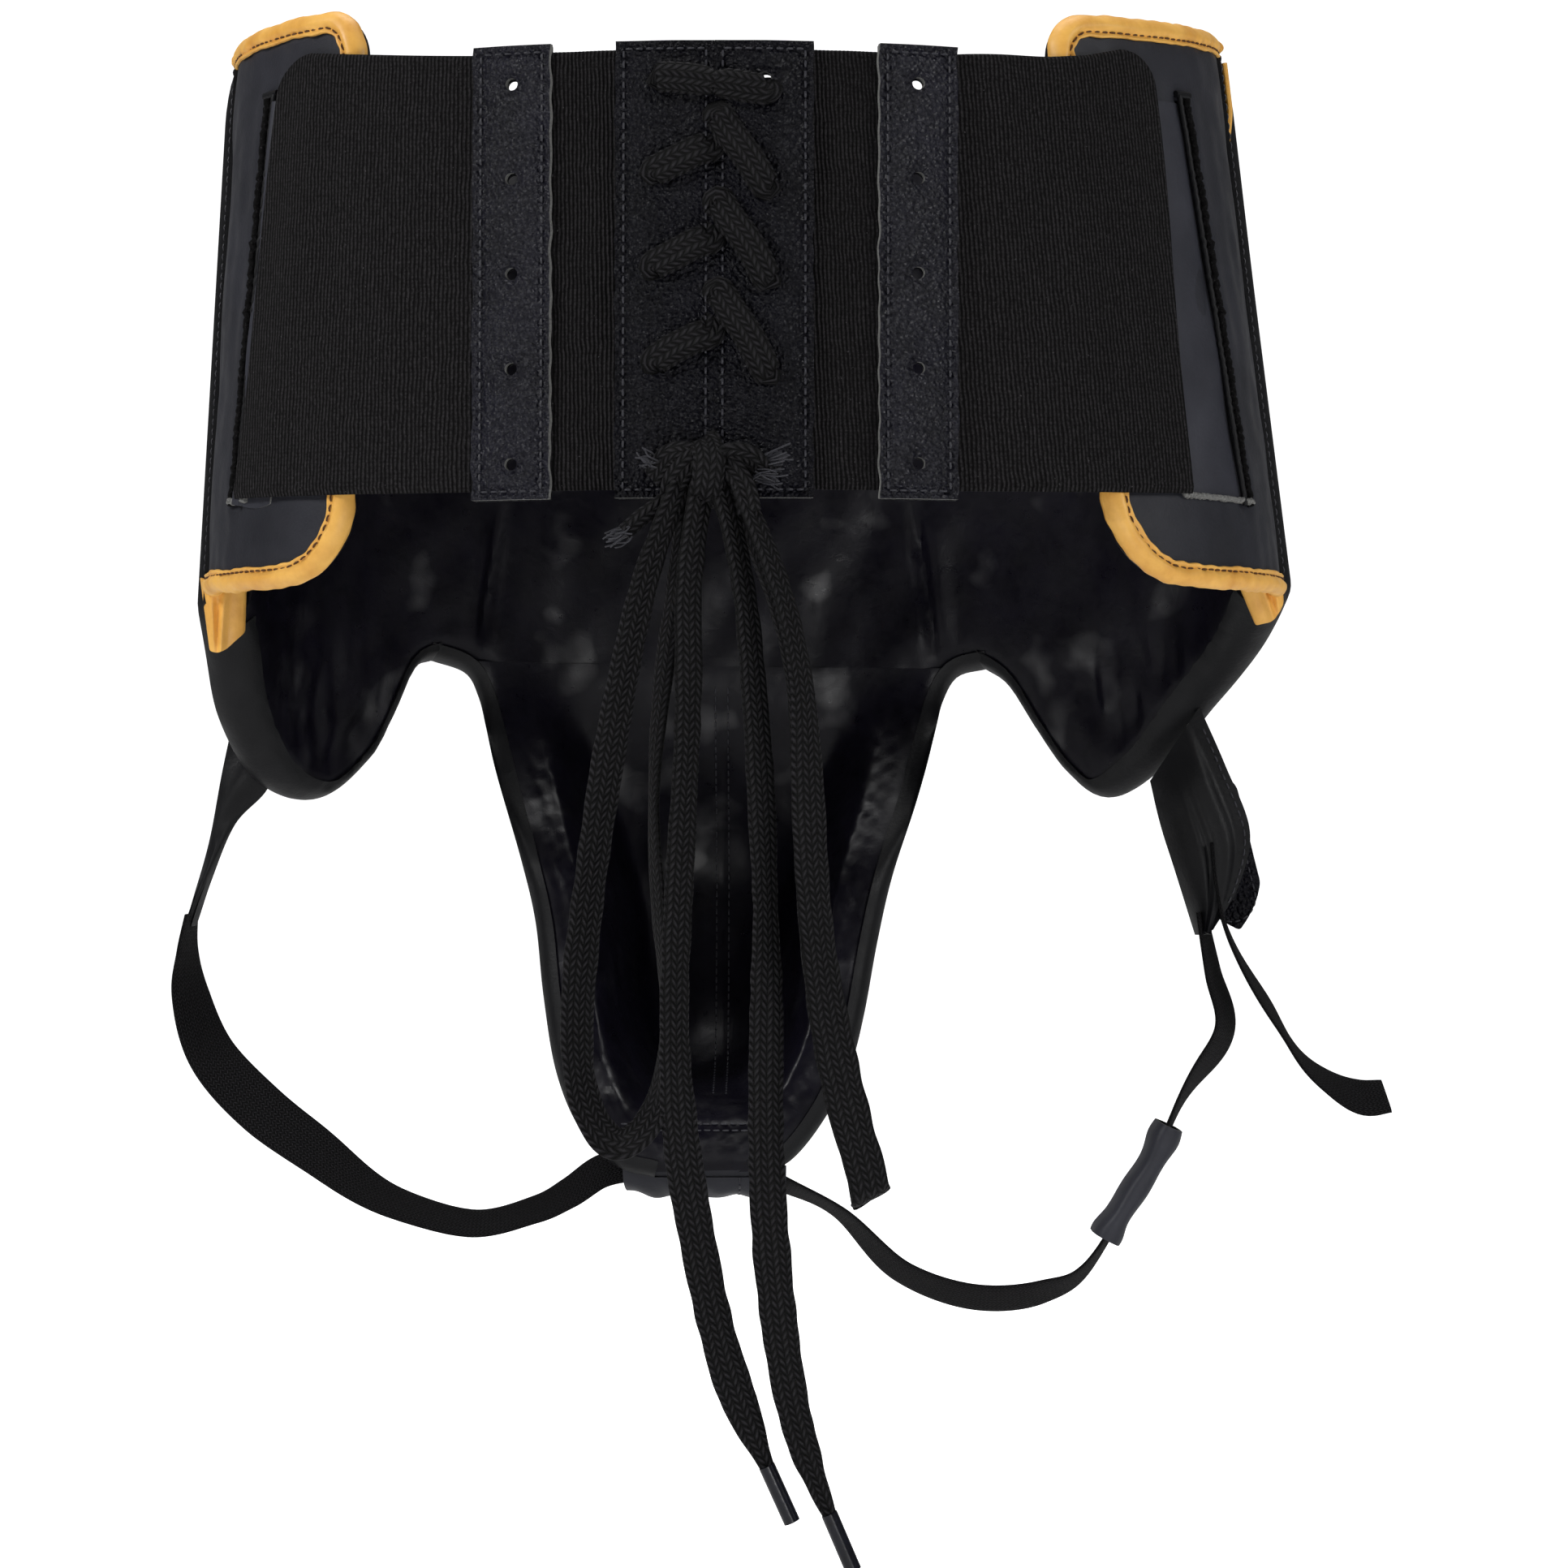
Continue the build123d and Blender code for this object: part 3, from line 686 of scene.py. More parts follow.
# x and height
CUP_EDGE = {
    1.0: [
        (87.5, -106.5), (78, -109), (73, -117), (70, -127), (63, -151), (55, -175), (50, -196), (45.5, -219.5),
        (41, -236), (33, -252), (22, -265.5), (10, -271),
    ],
    -1.0: [
        (-98, -104), (-87, -108), (-82.5, -116), (-79.5, -126), (-74.5, -144), (-66.5, -170), (-61.5, -190),
        (-58.5, -214), (-54, -238), (-46, -256), (-34, -267.5), (-22, -271),
    ],
}
# height and front of the cup's dome
CUP_FRONT = [(-95, 112), (-110, 118), (-135, 128), (-175, 134), (-215, 124), (-250, 98), (-272, 74)]
RIM_TOP = (-100.0, 78.0)
RIM_LOW = (-271.0, 36.0)
PAD_ROUND = 9.0          # radius of the padded edges
WRAP = 6.0               # leather turned over to the inside
JOIN_FADE = 36.0         # over this height the belt turns into the cup


def belt_edge(way):
    points = np.array(BELT_EDGE[way], float)
    points[:, 0] = arc_at_angle(points[:, 0])
    return smooth_curve(points)


def in_arcs(curve):
    return np.stack([arc_at_x(curve[:, 0], curve[:, 1], PAD_ROUND), curve[:, 1]], axis=-1)


LEFT_EDGE, RIGHT_EDGE = belt_edge(-1.0), belt_edge(1.0)
LEFT_CUP, RIGHT_CUP = smooth_curve(CUP_EDGE[-1.0]), smooth_curve(CUP_EDGE[1.0])
BELT_OUTLINE = np.vstack([RIGHT_EDGE, in_arcs(RIGHT_CUP)[1:], in_arcs(LEFT_CUP)[::-1], LEFT_EDGE[::-1][1:]])
BELT_LOW = np.vstack([LEFT_EDGE, RIGHT_EDGE[::-1]])


def edge_in_x(curve):
    return ring_point(curve[:, 0], curve[:, 1], PAD_ROUND, FRONT_WAY)[:, [0, 2]]


CUP_OUTLINE = np.vstack([edge_in_x(RIGHT_EDGE)[60:], RIGHT_CUP[1:], LEFT_CUP[::-1], edge_in_x(LEFT_EDGE)[::-1][1:-60]])


def belt_low(arc):
    """Height of the front's lower edge, or of its join with the cup."""
    return np.interp(arc, BELT_LOW[:, 0], BELT_LOW[:, 1])


def seam_groove(value, width, depth):
    """A stitched groove: a narrow valley between two shallow swells."""
    return -depth * bell(value, width) + 0.35 * depth * bell(np.abs(value) - 3.2 * width, 1.6 * width)


PANEL_SEAMS = (-78.0, 67.0)      # the centre panel's side seams, in x
CHEST_SEAMS = (34.0, -28.0)      # level seams across the outside of the front


def belt_outer(arc, z, edge):
    """How far out the outside of the front lies: full thickness, rolled off at its edges and sides."""
    over = np.clip((np.abs(arc) - (SIDE_ARC - 6.0)) / 5.0, 0.0, 1.0)
    full = 14.2 + (BELT - 14.2) * np.sqrt(1.0 - over * over)
    full = mix(np.minimum(full, 12.3), full, round_edge(BELT_TOP + 0.5 - z, 20.0))
    out = BELT / 2 + (full - BELT / 2) * round_edge(edge, PAD_ROUND)
    x = ring_point(arc, z, BELT, FRONT_WAY)[..., 0]
    inside = ease((edge - 6.0) / 10.0) * (1.0 - ease((np.abs(arc) - SIDE_ARC + 18.0) / 8.0))
    for seam in PANEL_SEAMS:
        out = out + inside * seam_groove(x - seam * 1.08, 1.3, 1.5)
    for seam in CHEST_SEAMS:
        bowed = z - seam + 6.0 * (arc / SIDE_ARC) ** 2
        out = out + inside * seam_groove(bowed, 1.3, 1.3)
    return out + inside * 0.25 * ripples(arc, z, 46.0, 3)


def belt_inner(arc, z, edge):
    """How far out the inside of the front lies: nought, with rolled edges, folds and the centre panel's creases."""
    out = BELT / 2 * (1.0 - round_edge(edge, PAD_ROUND)) + 5.8 * (1.0 - round_edge(BELT_TOP + 0.5 - z, 24.0))
    x = ring_point(arc, z, 0.0, FRONT_WAY)[..., 0]
    inside = ease((edge - 4.0) / 12.0) * ease((BELT_TOP - 6.0 - z) / 12.0)
    lower = ease((-40.0 - z) / 30.0)
    for seam, lean in zip(PANEL_SEAMS, (-0.14, 0.16)):
        bend = x - seam + lean * (z + 80.0)
        out = out + inside * lower * (1.5 * bell(bend, 1.8) - 0.7 * bell(np.abs(bend) - 5.0, 3.0))
    lobe = ease((np.abs(arc) - 90.0) / 25.0) * ease((-92.0 - z) / 16.0)
    slant = arc * np.sign(arc) * 0.62 + z * 0.78
    streaks = ripples(arc * 0.35, z * 0.12, 3.2, 11) * 0.35 + 0.55 * np.sin(slant / 4.2 + ripples(arc, z, 30.0, 5))
    out = out + lobe * ease((edge - 6.0) / 8.0) * streaks
    return out + inside * (0.55 * ripples(arc, z * 0.6, 42.0, 7) + 0.22 * ripples(arc, z * 0.5, 13.0, 8))


def front_rows(arc, start, count=44):
    """Heights down each column: even down to the roll, then closer as the edge turns under."""
    slope = np.gradient(belt_low(arc), arc)
    stretch = np.sqrt(1.0 + np.clip(slope, -2.5, 2.5) ** 2)
    share = np.linspace(0.0, 1.0, 9)[:, None]
    free = ease(np.maximum(LEFT_EDGE[-1, 0] - arc, arc - RIGHT_EDGE[-1, 0]) / 3.0 + 0.5)
    last = np.arccos(1.0 - start * free / PAD_ROUND)[None]
    turn = mix(math.pi / 2, last, share)
    rolled = belt_low(arc)[None] + (PAD_ROUND * (1.0 - np.cos(turn))) * stretch[None]
    share = np.linspace(0.0, 1.0, count)[:-1, None]
    upper = mix(BELT_TOP + 0.0 * arc[None], rolled[:1], share)
    return np.vstack([upper, rolled])


def front_arcs(reach, count=236):
    edges = [BELT_LOW[0, 0], *LEFT_EDGE[-1:, 0], *RIGHT_EDGE[-1:, 0]]
    arcs = np.linspace(-reach, reach, count)
    return np.unique(np.concatenate([arcs, [a for a in edges if abs(a) < reach]]))


def build_front_cover():
    """Outside leather: columns from the top edge to the lower edge, which turn over it to the inside."""
    arc = front_arcs(SIDE_ARC + 7.5)
    z = front_rows(arc, 0.0)
    spread_arc = np.broadcast_to(arc, z.shape)
    edge = distance_to(BELT_OUTLINE, spread_arc, z)
    out = belt_outer(spread_arc, z, edge)
    flap = ease((np.abs(spread_arc) - SIDE_ARC + 1.0) / 2.0)
    out = mix(out, np.maximum(out, 14.2), flap)
    turn = np.linspace(0.0, math.acos(1.0 - WRAP / PAD_ROUND), 9)[1:]
    inward = PAD_ROUND * (1.0 - np.cos(turn))[:, None]
    slope = np.clip(np.gradient(belt_low(arc), arc), -4.0, 4.0)
    size = np.sqrt(1.0 + slope**2)
    wrap_arc = arc[None] - inward * (slope / size)[None]
    wrap_z = belt_low(arc)[None] + inward / size[None]
    wrap_out = PAD_ROUND * (1.0 - round_edge(inward, PAD_ROUND)) - 0.9 * ease(inward / 3.0) + 0.0 * arc[None]
    wrap_out = wrap_out + 0.25 * ripples(wrap_arc, wrap_z * 2.0, 9.0, 21) * ease(inward / 4.0)
    all_arc = np.vstack([spread_arc, wrap_arc])
    all_z = np.vstack([z, wrap_z])
    outer = ring_point(all_arc, all_z, np.vstack([out, wrap_out]), FRONT_WAY)
    back = np.vstack([out - 1.5, wrap_out + 0.7])
    inner = ring_point(all_arc, all_z, back, FRONT_WAY)
    inner[len(z) - 1] = 0.5 * (inner[len(z) - 2] + inner[len(z)])
    keep = np.ones((len(all_z) - 1, len(arc) - 1), bool)
    middle = 0.5 * (arc[1:] + arc[:-1])
    joined_here = (middle > LEFT_EDGE[-1, 0]) & (middle < RIGHT_EDGE[-1, 0])
    flapped = np.abs(middle) > SIDE_ARC - 1.5
    keep[len(z) - 1:, joined_here | flapped] = False
    piece = shell("front_cover_leather", outer, inner, [MATERIALS["soft_leather"]], keep)
    finish_front_cover(piece)
    return piece


def finish_front_cover(piece):
    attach(piece, "root")
    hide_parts("front_cover")


def build_front_lining():
    """Satin over the inside of the front, tucked under the turned leather at its lower edge."""
    arc = front_arcs(SIDE_ARC - 0.5, 300)
    z = front_rows(arc, 2.5, 60)
    spread_arc = np.broadcast_to(arc, z.shape)
    edge = distance_to(BELT_OUTLINE, spread_arc, z)
    out = belt_inner(spread_arc, z, edge)
    face = ring_point(spread_arc, z, out, FRONT_WAY)
    back = ring_point(spread_arc, z, out + SATIN, FRONT_WAY)
    piece = shell("front_satin_lining", face, back, [MATERIALS["satin"]])
    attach(piece, "root")
    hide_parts("front_lining")


def build_front_foam():
    """Foam between the two, drawn in from every edge."""
    arc = front_arcs(SIDE_ARC - 8.0, 90)
    z = front_rows(arc, 4.0, 22)
    spread_arc = np.broadcast_to(arc, z.shape)
    edge = distance_to(BELT_OUTLINE, spread_arc, z)
    z = np.minimum(z, BELT_TOP - 2.0)
    outer = ring_point(spread_arc, z, belt_outer(spread_arc, z, edge) - 2.6, FRONT_WAY)
    inner = ring_point(spread_arc, z, belt_inner(spread_arc, z, edge) + 1.8, FRONT_WAY)
    piece = shell("front_foam_pad", outer, inner, [MATERIALS["foam"]])
    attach(piece, "root")
    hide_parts("front_foam")


# ---- binding tape ----
# place across the tape, from its outer hem round the edge, as (share of its width, share of half the thickness)
TAPE = [
    (1.0, 0.85), (0.98, 1.06), (0.9, 1.15), (0.8, 1.06), (0.72, 0.94), (0.62, 1.12), (0.4, 1.36), (0.14, 1.26),
    (-0.1, 0.92), (-0.24, 0.46), (-0.28, 0.0), (-0.2, -0.36), (-0.08, -0.66), (0.12, -0.86), (0.4, -0.97), (0.8, -1.0), (1.0, -0.96),
]
TAPE_THICK = 0.9
WING_EDGE = (8.6, 12.7)      # how far out the wing's two faces lie under its tape
FRONT_EDGE = (5.0, 13.0)


def tape_grid(path, way, sign, faces, width, seed):
    """Tape folded round an edge: the profile above, carried along a path in arc length and height."""
    along = tangents(path)
    inward = np.stack([-along[:, 1], along[:, 0]], axis=-1)
    profile = smooth_curve(TAPE, 3)
    run = lengths(path)
    pucker = 0.16 * ripples(run[:, None], profile[None, :, 0] * 6.0, 7.0, seed)
    pucker = pucker + 0.22 * ripples(run[:, None], 0.0 * profile[None, :, 0], 19.0, seed + 1)
    half, centre = 0.5 * (faces[1] - faces[0]) + 0.9, 0.5 * (faces[0] + faces[1])
    grids = []
    for inset in (0.0, TAPE_THICK):
        side = unit(np.gradient(profile * [width, half], axis=0))
        moved = profile * [width, half] - np.stack([-side[:, 1], side[:, 0]], axis=-1) * -inset
        depth = moved[None, :, 0] + pucker
        out = centre + moved[None, :, 1] + pucker * 0.7
        arc = path[:, None, 0] + inward[:, None, 0] * depth
        z = path[:, None, 1] + inward[:, None, 1] * depth
        grids.append(ring_point(sign * arc, z, out, way))
    return grids


def tape_seam(path, way, sign, faces, width, share=0.73):
    """The line that the tape is stitched along, and the way out from it."""
    along = tangents(path)
    inward = np.stack([-along[:, 1], along[:, 0]], axis=-1)
    place = path + inward * width * share
    line = ring_point(sign * place[:, 0], place[:, 1], faces[1] + 0.9, way)
    above = ring_point(sign * place[:, 0], place[:, 1], faces[1] + 4.0, way)
    return line, unit(above - line)


def build_front_binding(width):
    path = np.stack([np.linspace(SIDE_ARC + 5.0, -SIDE_ARC - 5.0, 330), np.full(330, BELT_TOP + 0.2)], axis=-1)
    outer, inner = tape_grid(path, FRONT_WAY, 1.0, FRONT_EDGE, width, 31)
    piece = shell("front_yellow_binding", outer, inner, [MATERIALS["binding"]])
    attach(piece, "root")
    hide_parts("front_binding")
    return [tape_seam(path, FRONT_WAY, 1.0, FRONT_EDGE, width)]


def surface_line(arc, z, out, way):
    """A line on the ring and the way out from it."""
    line = ring_point(arc, z, out, way)
    return line, unit(ring_point(arc, z, out + 2.0, way) - line)


def front_seams():
    """Stitch lines on the outside of the front: two rows at each panel seam and along each level seam."""
    lines = []
    heights = np.linspace(BELT_TOP - 9.0, -98.0, 160)
    for seam in PANEL_SEAMS:
        for shift in (-3.0, 3.0):
            arc = arc_at_x(seam * 1.08 + shift, heights, BELT)
            edge = distance_to(BELT_OUTLINE, arc, heights)
            lines.append(surface_line(arc, heights, belt_outer(arc, heights, edge), FRONT_WAY))
    arcs = np.linspace(-SIDE_ARC + 20.0, SIDE_ARC - 20.0, 300)
    for seam in CHEST_SEAMS:
        for shift in (-3.0, 3.0):
            z = seam - 6.0 * (arcs / SIDE_ARC) ** 2 + shift
            edge = distance_to(BELT_OUTLINE, arcs, z)
            lines.append(surface_line(arcs, z, belt_outer(arcs, z, edge), FRONT_WAY))
    return lines


def side_seams():
    """The stitched lap of the front's leather over each wing."""
    z = np.linspace(BELT_TOP - 4.0, WING_LOW + 5.0, 120)
    lines = []
    for sign, _ in SIDES:
        for shift in (2.6, 6.2):
            lines.append(surface_line(sign * (SIDE_ARC + shift) + 0.0 * z, z, 14.2, FRONT_WAY))
    return lines


# ---- cup ----
def rim_y(z):
    share = (z - RIM_TOP[0]) / (RIM_LOW[0] - RIM_TOP[0])
    return RIM_TOP[1] + share * (RIM_LOW[1] - RIM_TOP[1])


DOME = smooth_curve(CUP_FRONT)[::-1]


def cup_share(x, z):
    """0 on the join with the belt, growing to 1 where the cup has its own shape."""
    return ease((belt_low(arc_at_x(x, -105.0, PAD_ROUND)) - z) / JOIN_FADE)


def cup_outer(x, z, across, edge):
    """Depth of the dome's outside: an ellipse across each row, blunt at the toe, that grows out of the belt."""
    front = np.interp(z, DOME[:, 0], DOME[:, 1])
    toe = np.sqrt(1.0 - np.clip(1.0 - (z + 272.0) / 34.0, 0.0, 1.0) ** 2)
    dome = rim_y(z) + (front - rim_y(z)) * np.sqrt(np.clip(1.0 - across**2, 0.0, 1.0)) * toe
    own = cup_share(x, z)
    middle = mix(belt_y(x, z, PAD_ROUND), rim_y(z), own)
    full = mix(belt_y(x, z, BELT), dome, own)
    full = full + own * ease((edge - 10.0) / 10.0) * seam_groove(x + 6.0, 1.4, 1.6)
    for seam in (-34.0, 22.0):
        full = full + own * ease((edge - 12.0) / 8.0) * seam_groove(x - seam * (1.0 + 0.004 * (z + 180.0)), 1.2, 1.0)
    return middle + (full - middle) * round_edge(edge, PAD_ROUND)


def cup_inner(x, z, edge):
    """Depth of the cup's inside: a rounded rim along the edge, then the hollow, that grows out of the belt."""
    front = np.interp(z, DOME[:, 0], DOME[:, 1])
    own = cup_share(x, z)
    half = np.interp(z, RIGHT_CUP[::-1, 1], RIGHT_CUP[::-1, 0]) + 6.0 - 11.0
    half = np.maximum(half, 12.0)
    toe = np.sqrt(1.0 - np.clip(1.0 - (z + 256.0) / 30.0, 0.0, 1.0) ** 2)
    bowl = np.sqrt(np.clip(1.0 - ((x + 6.0) / half) ** 2, 0.0, 1.0)) * toe
    hollow = rim_y(z) + (front - 12.0 - rim_y(z)) * bowl
    crest = rim_y(z) - 7.0 - 1.2 * bell(edge - 15.0, 5.0)
    rim = mix(crest, hollow, ease((edge - 16.0) / 17.0))
    middle = mix(belt_y(x, z, PAD_ROUND), rim_y(z), own)
    slow = ease((belt_low(arc_at_x(x, -105.0, PAD_ROUND)) - z) / (2.1 * JOIN_FADE))
    seam = 0.5 * bell(x + 1.5, 0.8) * ease((edge - 14.0) / 10.0)
    pucker = bell(edge - 17.0, 7.0) * own * (0.3 * ripples(x * 1.1, z * 1.1, 6.5, 15) + 0.12 * ripples(x, z, 3.4, 16))
    fold = ease((edge - 10.0) / 14.0) * (0.6 * ripples(x, z * 0.55, 34.0, 17) + 0.16 * ripples(x, z * 0.6, 12.0, 18))
    full = mix(belt_y(x, z, 0.0), rim, slow) + (seam + pucker + fold) * own
    return middle + (full - middle) * round_edge(edge, PAD_ROUND)


def cup_grid(rows=110, columns=132):
    """Rows between matching points of the cup's two sides, with columns closer near each side."""
    left, right = resample(LEFT_CUP, rows), resample(RIGHT_CUP, rows)
    turn = np.linspace(-math.pi / 2, math.pi / 2, columns)
    across = 0.55 * np.sin(turn) + 0.45 * np.linspace(-1.0, 1.0, columns)
    share = 0.5 * (across + 1.0)
    place = left[:, None] + (right - left)[:, None] * share[None, :, None]
    x, z = place[..., 0], place[..., 1]
    return x, z, np.broadcast_to(across, x.shape), distance_to(CUP_OUTLINE, x, z)


def as_points(x, y, z):
    return np.stack([x, y, z], axis=-1)


def build_cup():
    x, z, across, edge = cup_grid()
    outer_y = cup_outer(x, z, across, edge)
    inner_y = cup_inner(x, z, edge)
    wrap = []
    for curve, way in ((LEFT_CUP, -1.0), (RIGHT_CUP, 1.0)):
        side = resample(curve, len(x))
        along = tangents(side)
        inward = np.stack([-along[:, 1], along[:, 0]], axis=-1) * -way
        turn = np.linspace(0.0, math.acos(1.0 - WRAP / PAD_ROUND), 9)[1:]
        depth = PAD_ROUND * (1.0 - np.cos(turn))[None]
        wx = side[:, :1] + inward[:, :1] * depth
        wz = side[:, 1:] + inward[:, 1:] * depth
        wy = cup_inner(wx, wz, distance_to(CUP_OUTLINE, wx, wz)) - 0.9 * ease(depth / 3.0)
        wrap.append((wx, wy, wz))
    (lx, ly, lz), (rx, ry, rz) = wrap
    cover_x = np.hstack([lx[:, ::-1], x, rx])
    cover_z = np.hstack([lz[:, ::-1], z, rz])
    cover_y = np.hstack([ly[:, ::-1], outer_y, ry])
    back_y = np.hstack([ly[:, ::-1] + 0.7, outer_y - 1.5 * round_edge(edge, 12.0), ry + 0.7])
    cover = shell(
        "cup_cover_leather", as_points(cover_x, cover_y, cover_z), as_points(cover_x, back_y, cover_z),
        [MATERIALS["soft_leather"]],
    )
    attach(cover, "root")
    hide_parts("cup_cover")

    inside = edge > 2.2
    kept = inside[:-1, :-1] & inside[1:, :-1] & inside[:-1, 1:] & inside[1:, 1:]
    kept[0] = edge[0, :-1] > 2.2
    face = as_points(x, inner_y, z)
    lining = shell("cup_satin_lining", face, as_points(x, inner_y + SATIN, z), [MATERIALS["satin"]], kept)
    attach(lining, "root")
    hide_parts("cup_lining")

    layers = (
        ("cup_shell_moulding", "plastic", "cup_hard_shell", "hard_plastic", 22.0, 0.15, 0.4),
        ("cup_foam_pad", "foam", "cup_foam", "foam", 16.0, 0.45, 0.85),
    )
    for name, material, node, slot, start, near, far in layers:
        deep = edge > start
        cells = deep[:-1, :-1] & deep[1:, :-1] & deep[:-1, 1:] & deep[1:, 1:]
        gap = np.maximum(outer_y - inner_y, 2.0)
        layer = shell(
            name, as_points(x, inner_y + gap * far, z), as_points(x, inner_y + gap * near, z),
            [MATERIALS[material]], cells,
        )
        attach(layer, "root")
        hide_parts(node)

    build_rim_pad()
    return seam_lines_of_cup()


def build_rim_pad():
    """Foam roll under the satin along the cup's rim: an oval carried along the edge, 11 mm in."""
    path = np.vstack([RIGHT_CUP[14:], LEFT_CUP[::-1][:-14]])
    path = resample(path, 150)
    along = tangents(path)
    inward = np.stack([along[:, 1], -along[:, 0]], axis=-1)
    place = path + inward * 11.5
    depth = cup_inner(place[:, 0], place[:, 1], distance_to(CUP_OUTLINE, place[:, 0], place[:, 1])) + 5.4
    line = as_points(place[:, 0], depth, place[:, 1])
    across = as_points(inward[:, 0], 0.0 * depth, inward[:, 1])
    points, faces = tube_parts(band(line, across, 10.0, 6.5, 16, 2.0))
    piece = make_piece("cup_rim_roll", points, faces, [MATERIALS["foam"]])
    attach(piece, "root")
    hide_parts("cup_rim_pad")


def seam_lines_of_cup():
    """Stitch lines inside the cup: a double seam down its middle and a level row near its toe."""
    lines = []
    z = np.linspace(-112.0, -246.0, 150)
    for x in (-3.6, 0.6):
        place = x + 0.0 * z
        depth = cup_inner(place, z, distance_to(CUP_OUTLINE, place, z)) - 0.25
        lines.append((as_points(place, depth, z), np.broadcast_to([0.0, -1.0, 0.0], (len(z), 3))))
    x = np.linspace(-33.0, 8.0, 60)
    for height in (-253.5, -255.5):
        level = height + 0.0 * x
        depth = cup_inner(x, level, distance_to(CUP_OUTLINE, x, level)) - 0.25
        lines.append((as_points(x, depth, level), np.broadcast_to([0.0, -1.0, 0.0], (len(x), 3))))
    return lines


def build_crotch_tab():
    """Leather tab folded under the cup's toe, with two rows of stitches and rounded lower corners."""
    low, high = low_high("crotch_anchor")
    middle = 0.5 * (low + high)
    half_wide = 0.5 * (high[0] - low[0]) + 3.0
    u = np.linspace(-1.0, 1.0, 61)[None]
    v = np.linspace(0.0, 1.0, 37)[:, None]
    turn = v * math.pi * 0.98
    lower = high[2] - 7.5 + 2.2 * u**4
    x = middle[0] + half_wide * u * (1.0 + 0.05 * np.cos(turn)) + 0.0 * v
    y = middle[1] + 3.0 - (13.5 - 1.2 * u**4) * np.cos(turn)
    z = mix(high[2] + 3.5, lower, np.sin(turn) ** 0.8) + 0.5 * ripples(u * 20.0, v * 20.0, 9.0, 41)
    outer = as_points(*np.broadcast_arrays(x, y, z))
    normal_y = np.where(v < 0.5, 1.0, -1.0)
    inner = outer + as_points(*np.broadcast_arrays(0.0 * x, 1.5 * np.cos(turn) + 0.0 * x, 1.5 * np.sin(turn) + 0.0 * x))
    piece = shell("crotch_leather_tab", outer, inner, [MATERIALS["leather"], MATERIALS["cut_edge"]], kinds=(0, 0, 1))
    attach(piece, "root")
    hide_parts("crotch_anchor")
    lines = []
    for column in (17, 30, 43):
        line = outer[2:22, column]
        lines.append((resample(line, 30), np.broadcast_to([0.0, -1.0, -0.2], (30, 3))))
    return lines


# ---- wings, with a slot in each ----
REAR_EDGE = {1.0: (106.4, -0.122), -1.0: (106.2, -0.02)}       # x at z = 0, and its lean
CORNER_TOP, CORNER_LOW = 13.0, 24.0
SLOT_LOW, SLOT_TOP, SLOT_GAP = -60.5, 58.0, 2.8


def wing_outline(sign):
    """The wing's edge in (distance round from the back, height), from its top end to its lower end."""
    start, lean = REAR_EDGE[sign]
    high = abs(float(arc_at_x(sign * (start + lean * BELT_TOP), BELT_TOP, WING)))
    low = abs(float(arc_at_x(sign * (start + lean * WING_LOW), WING_LOW, WING)))
    corners = [(SIDE_ARC + 3.0, BELT_TOP), (high, BELT_TOP), (low, WING_LOW), (SIDE_ARC + 1.0, WING_LOW)]
    return rounded_path(corners, [CORNER_TOP, CORNER_LOW])


def wing_edge(outline, z):
    """Where the outline's rear edge lies at a height."""
    nearest = np.argsort(-outline[:, 1], kind="stable")
    path = outline[nearest]
    inner = path[:, 0] < SIDE_ARC - 1.0
    return np.interp(-z, -path[inner, 1], path[inner, 0])


def slot_arc(sign, z):
    return np.abs(arc_at_back_y(-42.0 - 5.0 * (z - SLOT_LOW) / 116.0, z, WING))


def wing_rows(inset):
    """Heights, close together round the corners and exact at the slot's ends."""
    turn = np.linspace(0.0, math.pi / 2, 12)
    top = BELT_TOP - inset - (CORNER_TOP - inset) * (1.0 - np.cos(turn[:-1] * 0.999))
    low = WING_LOW + inset + (CORNER_LOW - inset) * (1.0 - np.cos(turn[:-1] * 0.999))
    middle = np.linspace(top[-1], low[-1], 60)[1:-1]
    rows = np.concatenate([top, middle, low])
    rows = rows[np.min(np.abs(rows[:, None] - [SLOT_LOW, SLOT_TOP]), axis=1) > 1.2]
    return np.sort(np.concatenate([rows, [SLOT_LOW, SLOT_TOP]]))[::-1]


def wing_grid(sign, inset, reach, gap, near=34, far=30):
    """Columns from the rear edge to the slot, one column for the gap, then columns to the side."""
    outline = wing_outline(sign)
    z = wing_rows(inset)
    edge = wing_edge(outline, z) + inset
    slot = slot_arc(sign, z)
    bend = 0.5 - 0.5 * np.cos(np.linspace(0.0, math.pi, near))
    first = mix(edge[:, None], (slot - gap / 2)[:, None], 0.5 * bend[None] + 0.5 * np.linspace(0, 1, near)[None])
    last = mix((slot + gap / 2)[:, None], reach, np.linspace(0.0, 1.0, far)[None])
    arc = np.hstack([first, last])
    z = np.broadcast_to(z[:, None], arc.shape)
    keep = np.ones((arc.shape[0] - 1, arc.shape[1] - 1), bool)
    tall = (0.5 * (z[1:, 0] + z[:-1, 0]) < SLOT_TOP) & (0.5 * (z[1:, 0] + z[:-1, 0]) > SLOT_LOW)
    keep[tall, near - 1] = False
    from_edge = distance_to(outline, arc, z)
    lower = np.stack([slot_arc(sign, np.linspace(SLOT_LOW, SLOT_TOP, 40)), np.linspace(SLOT_LOW, SLOT_TOP, 40)], -1)
    return arc, z, from_edge, distance_to(lower, arc, z), keep


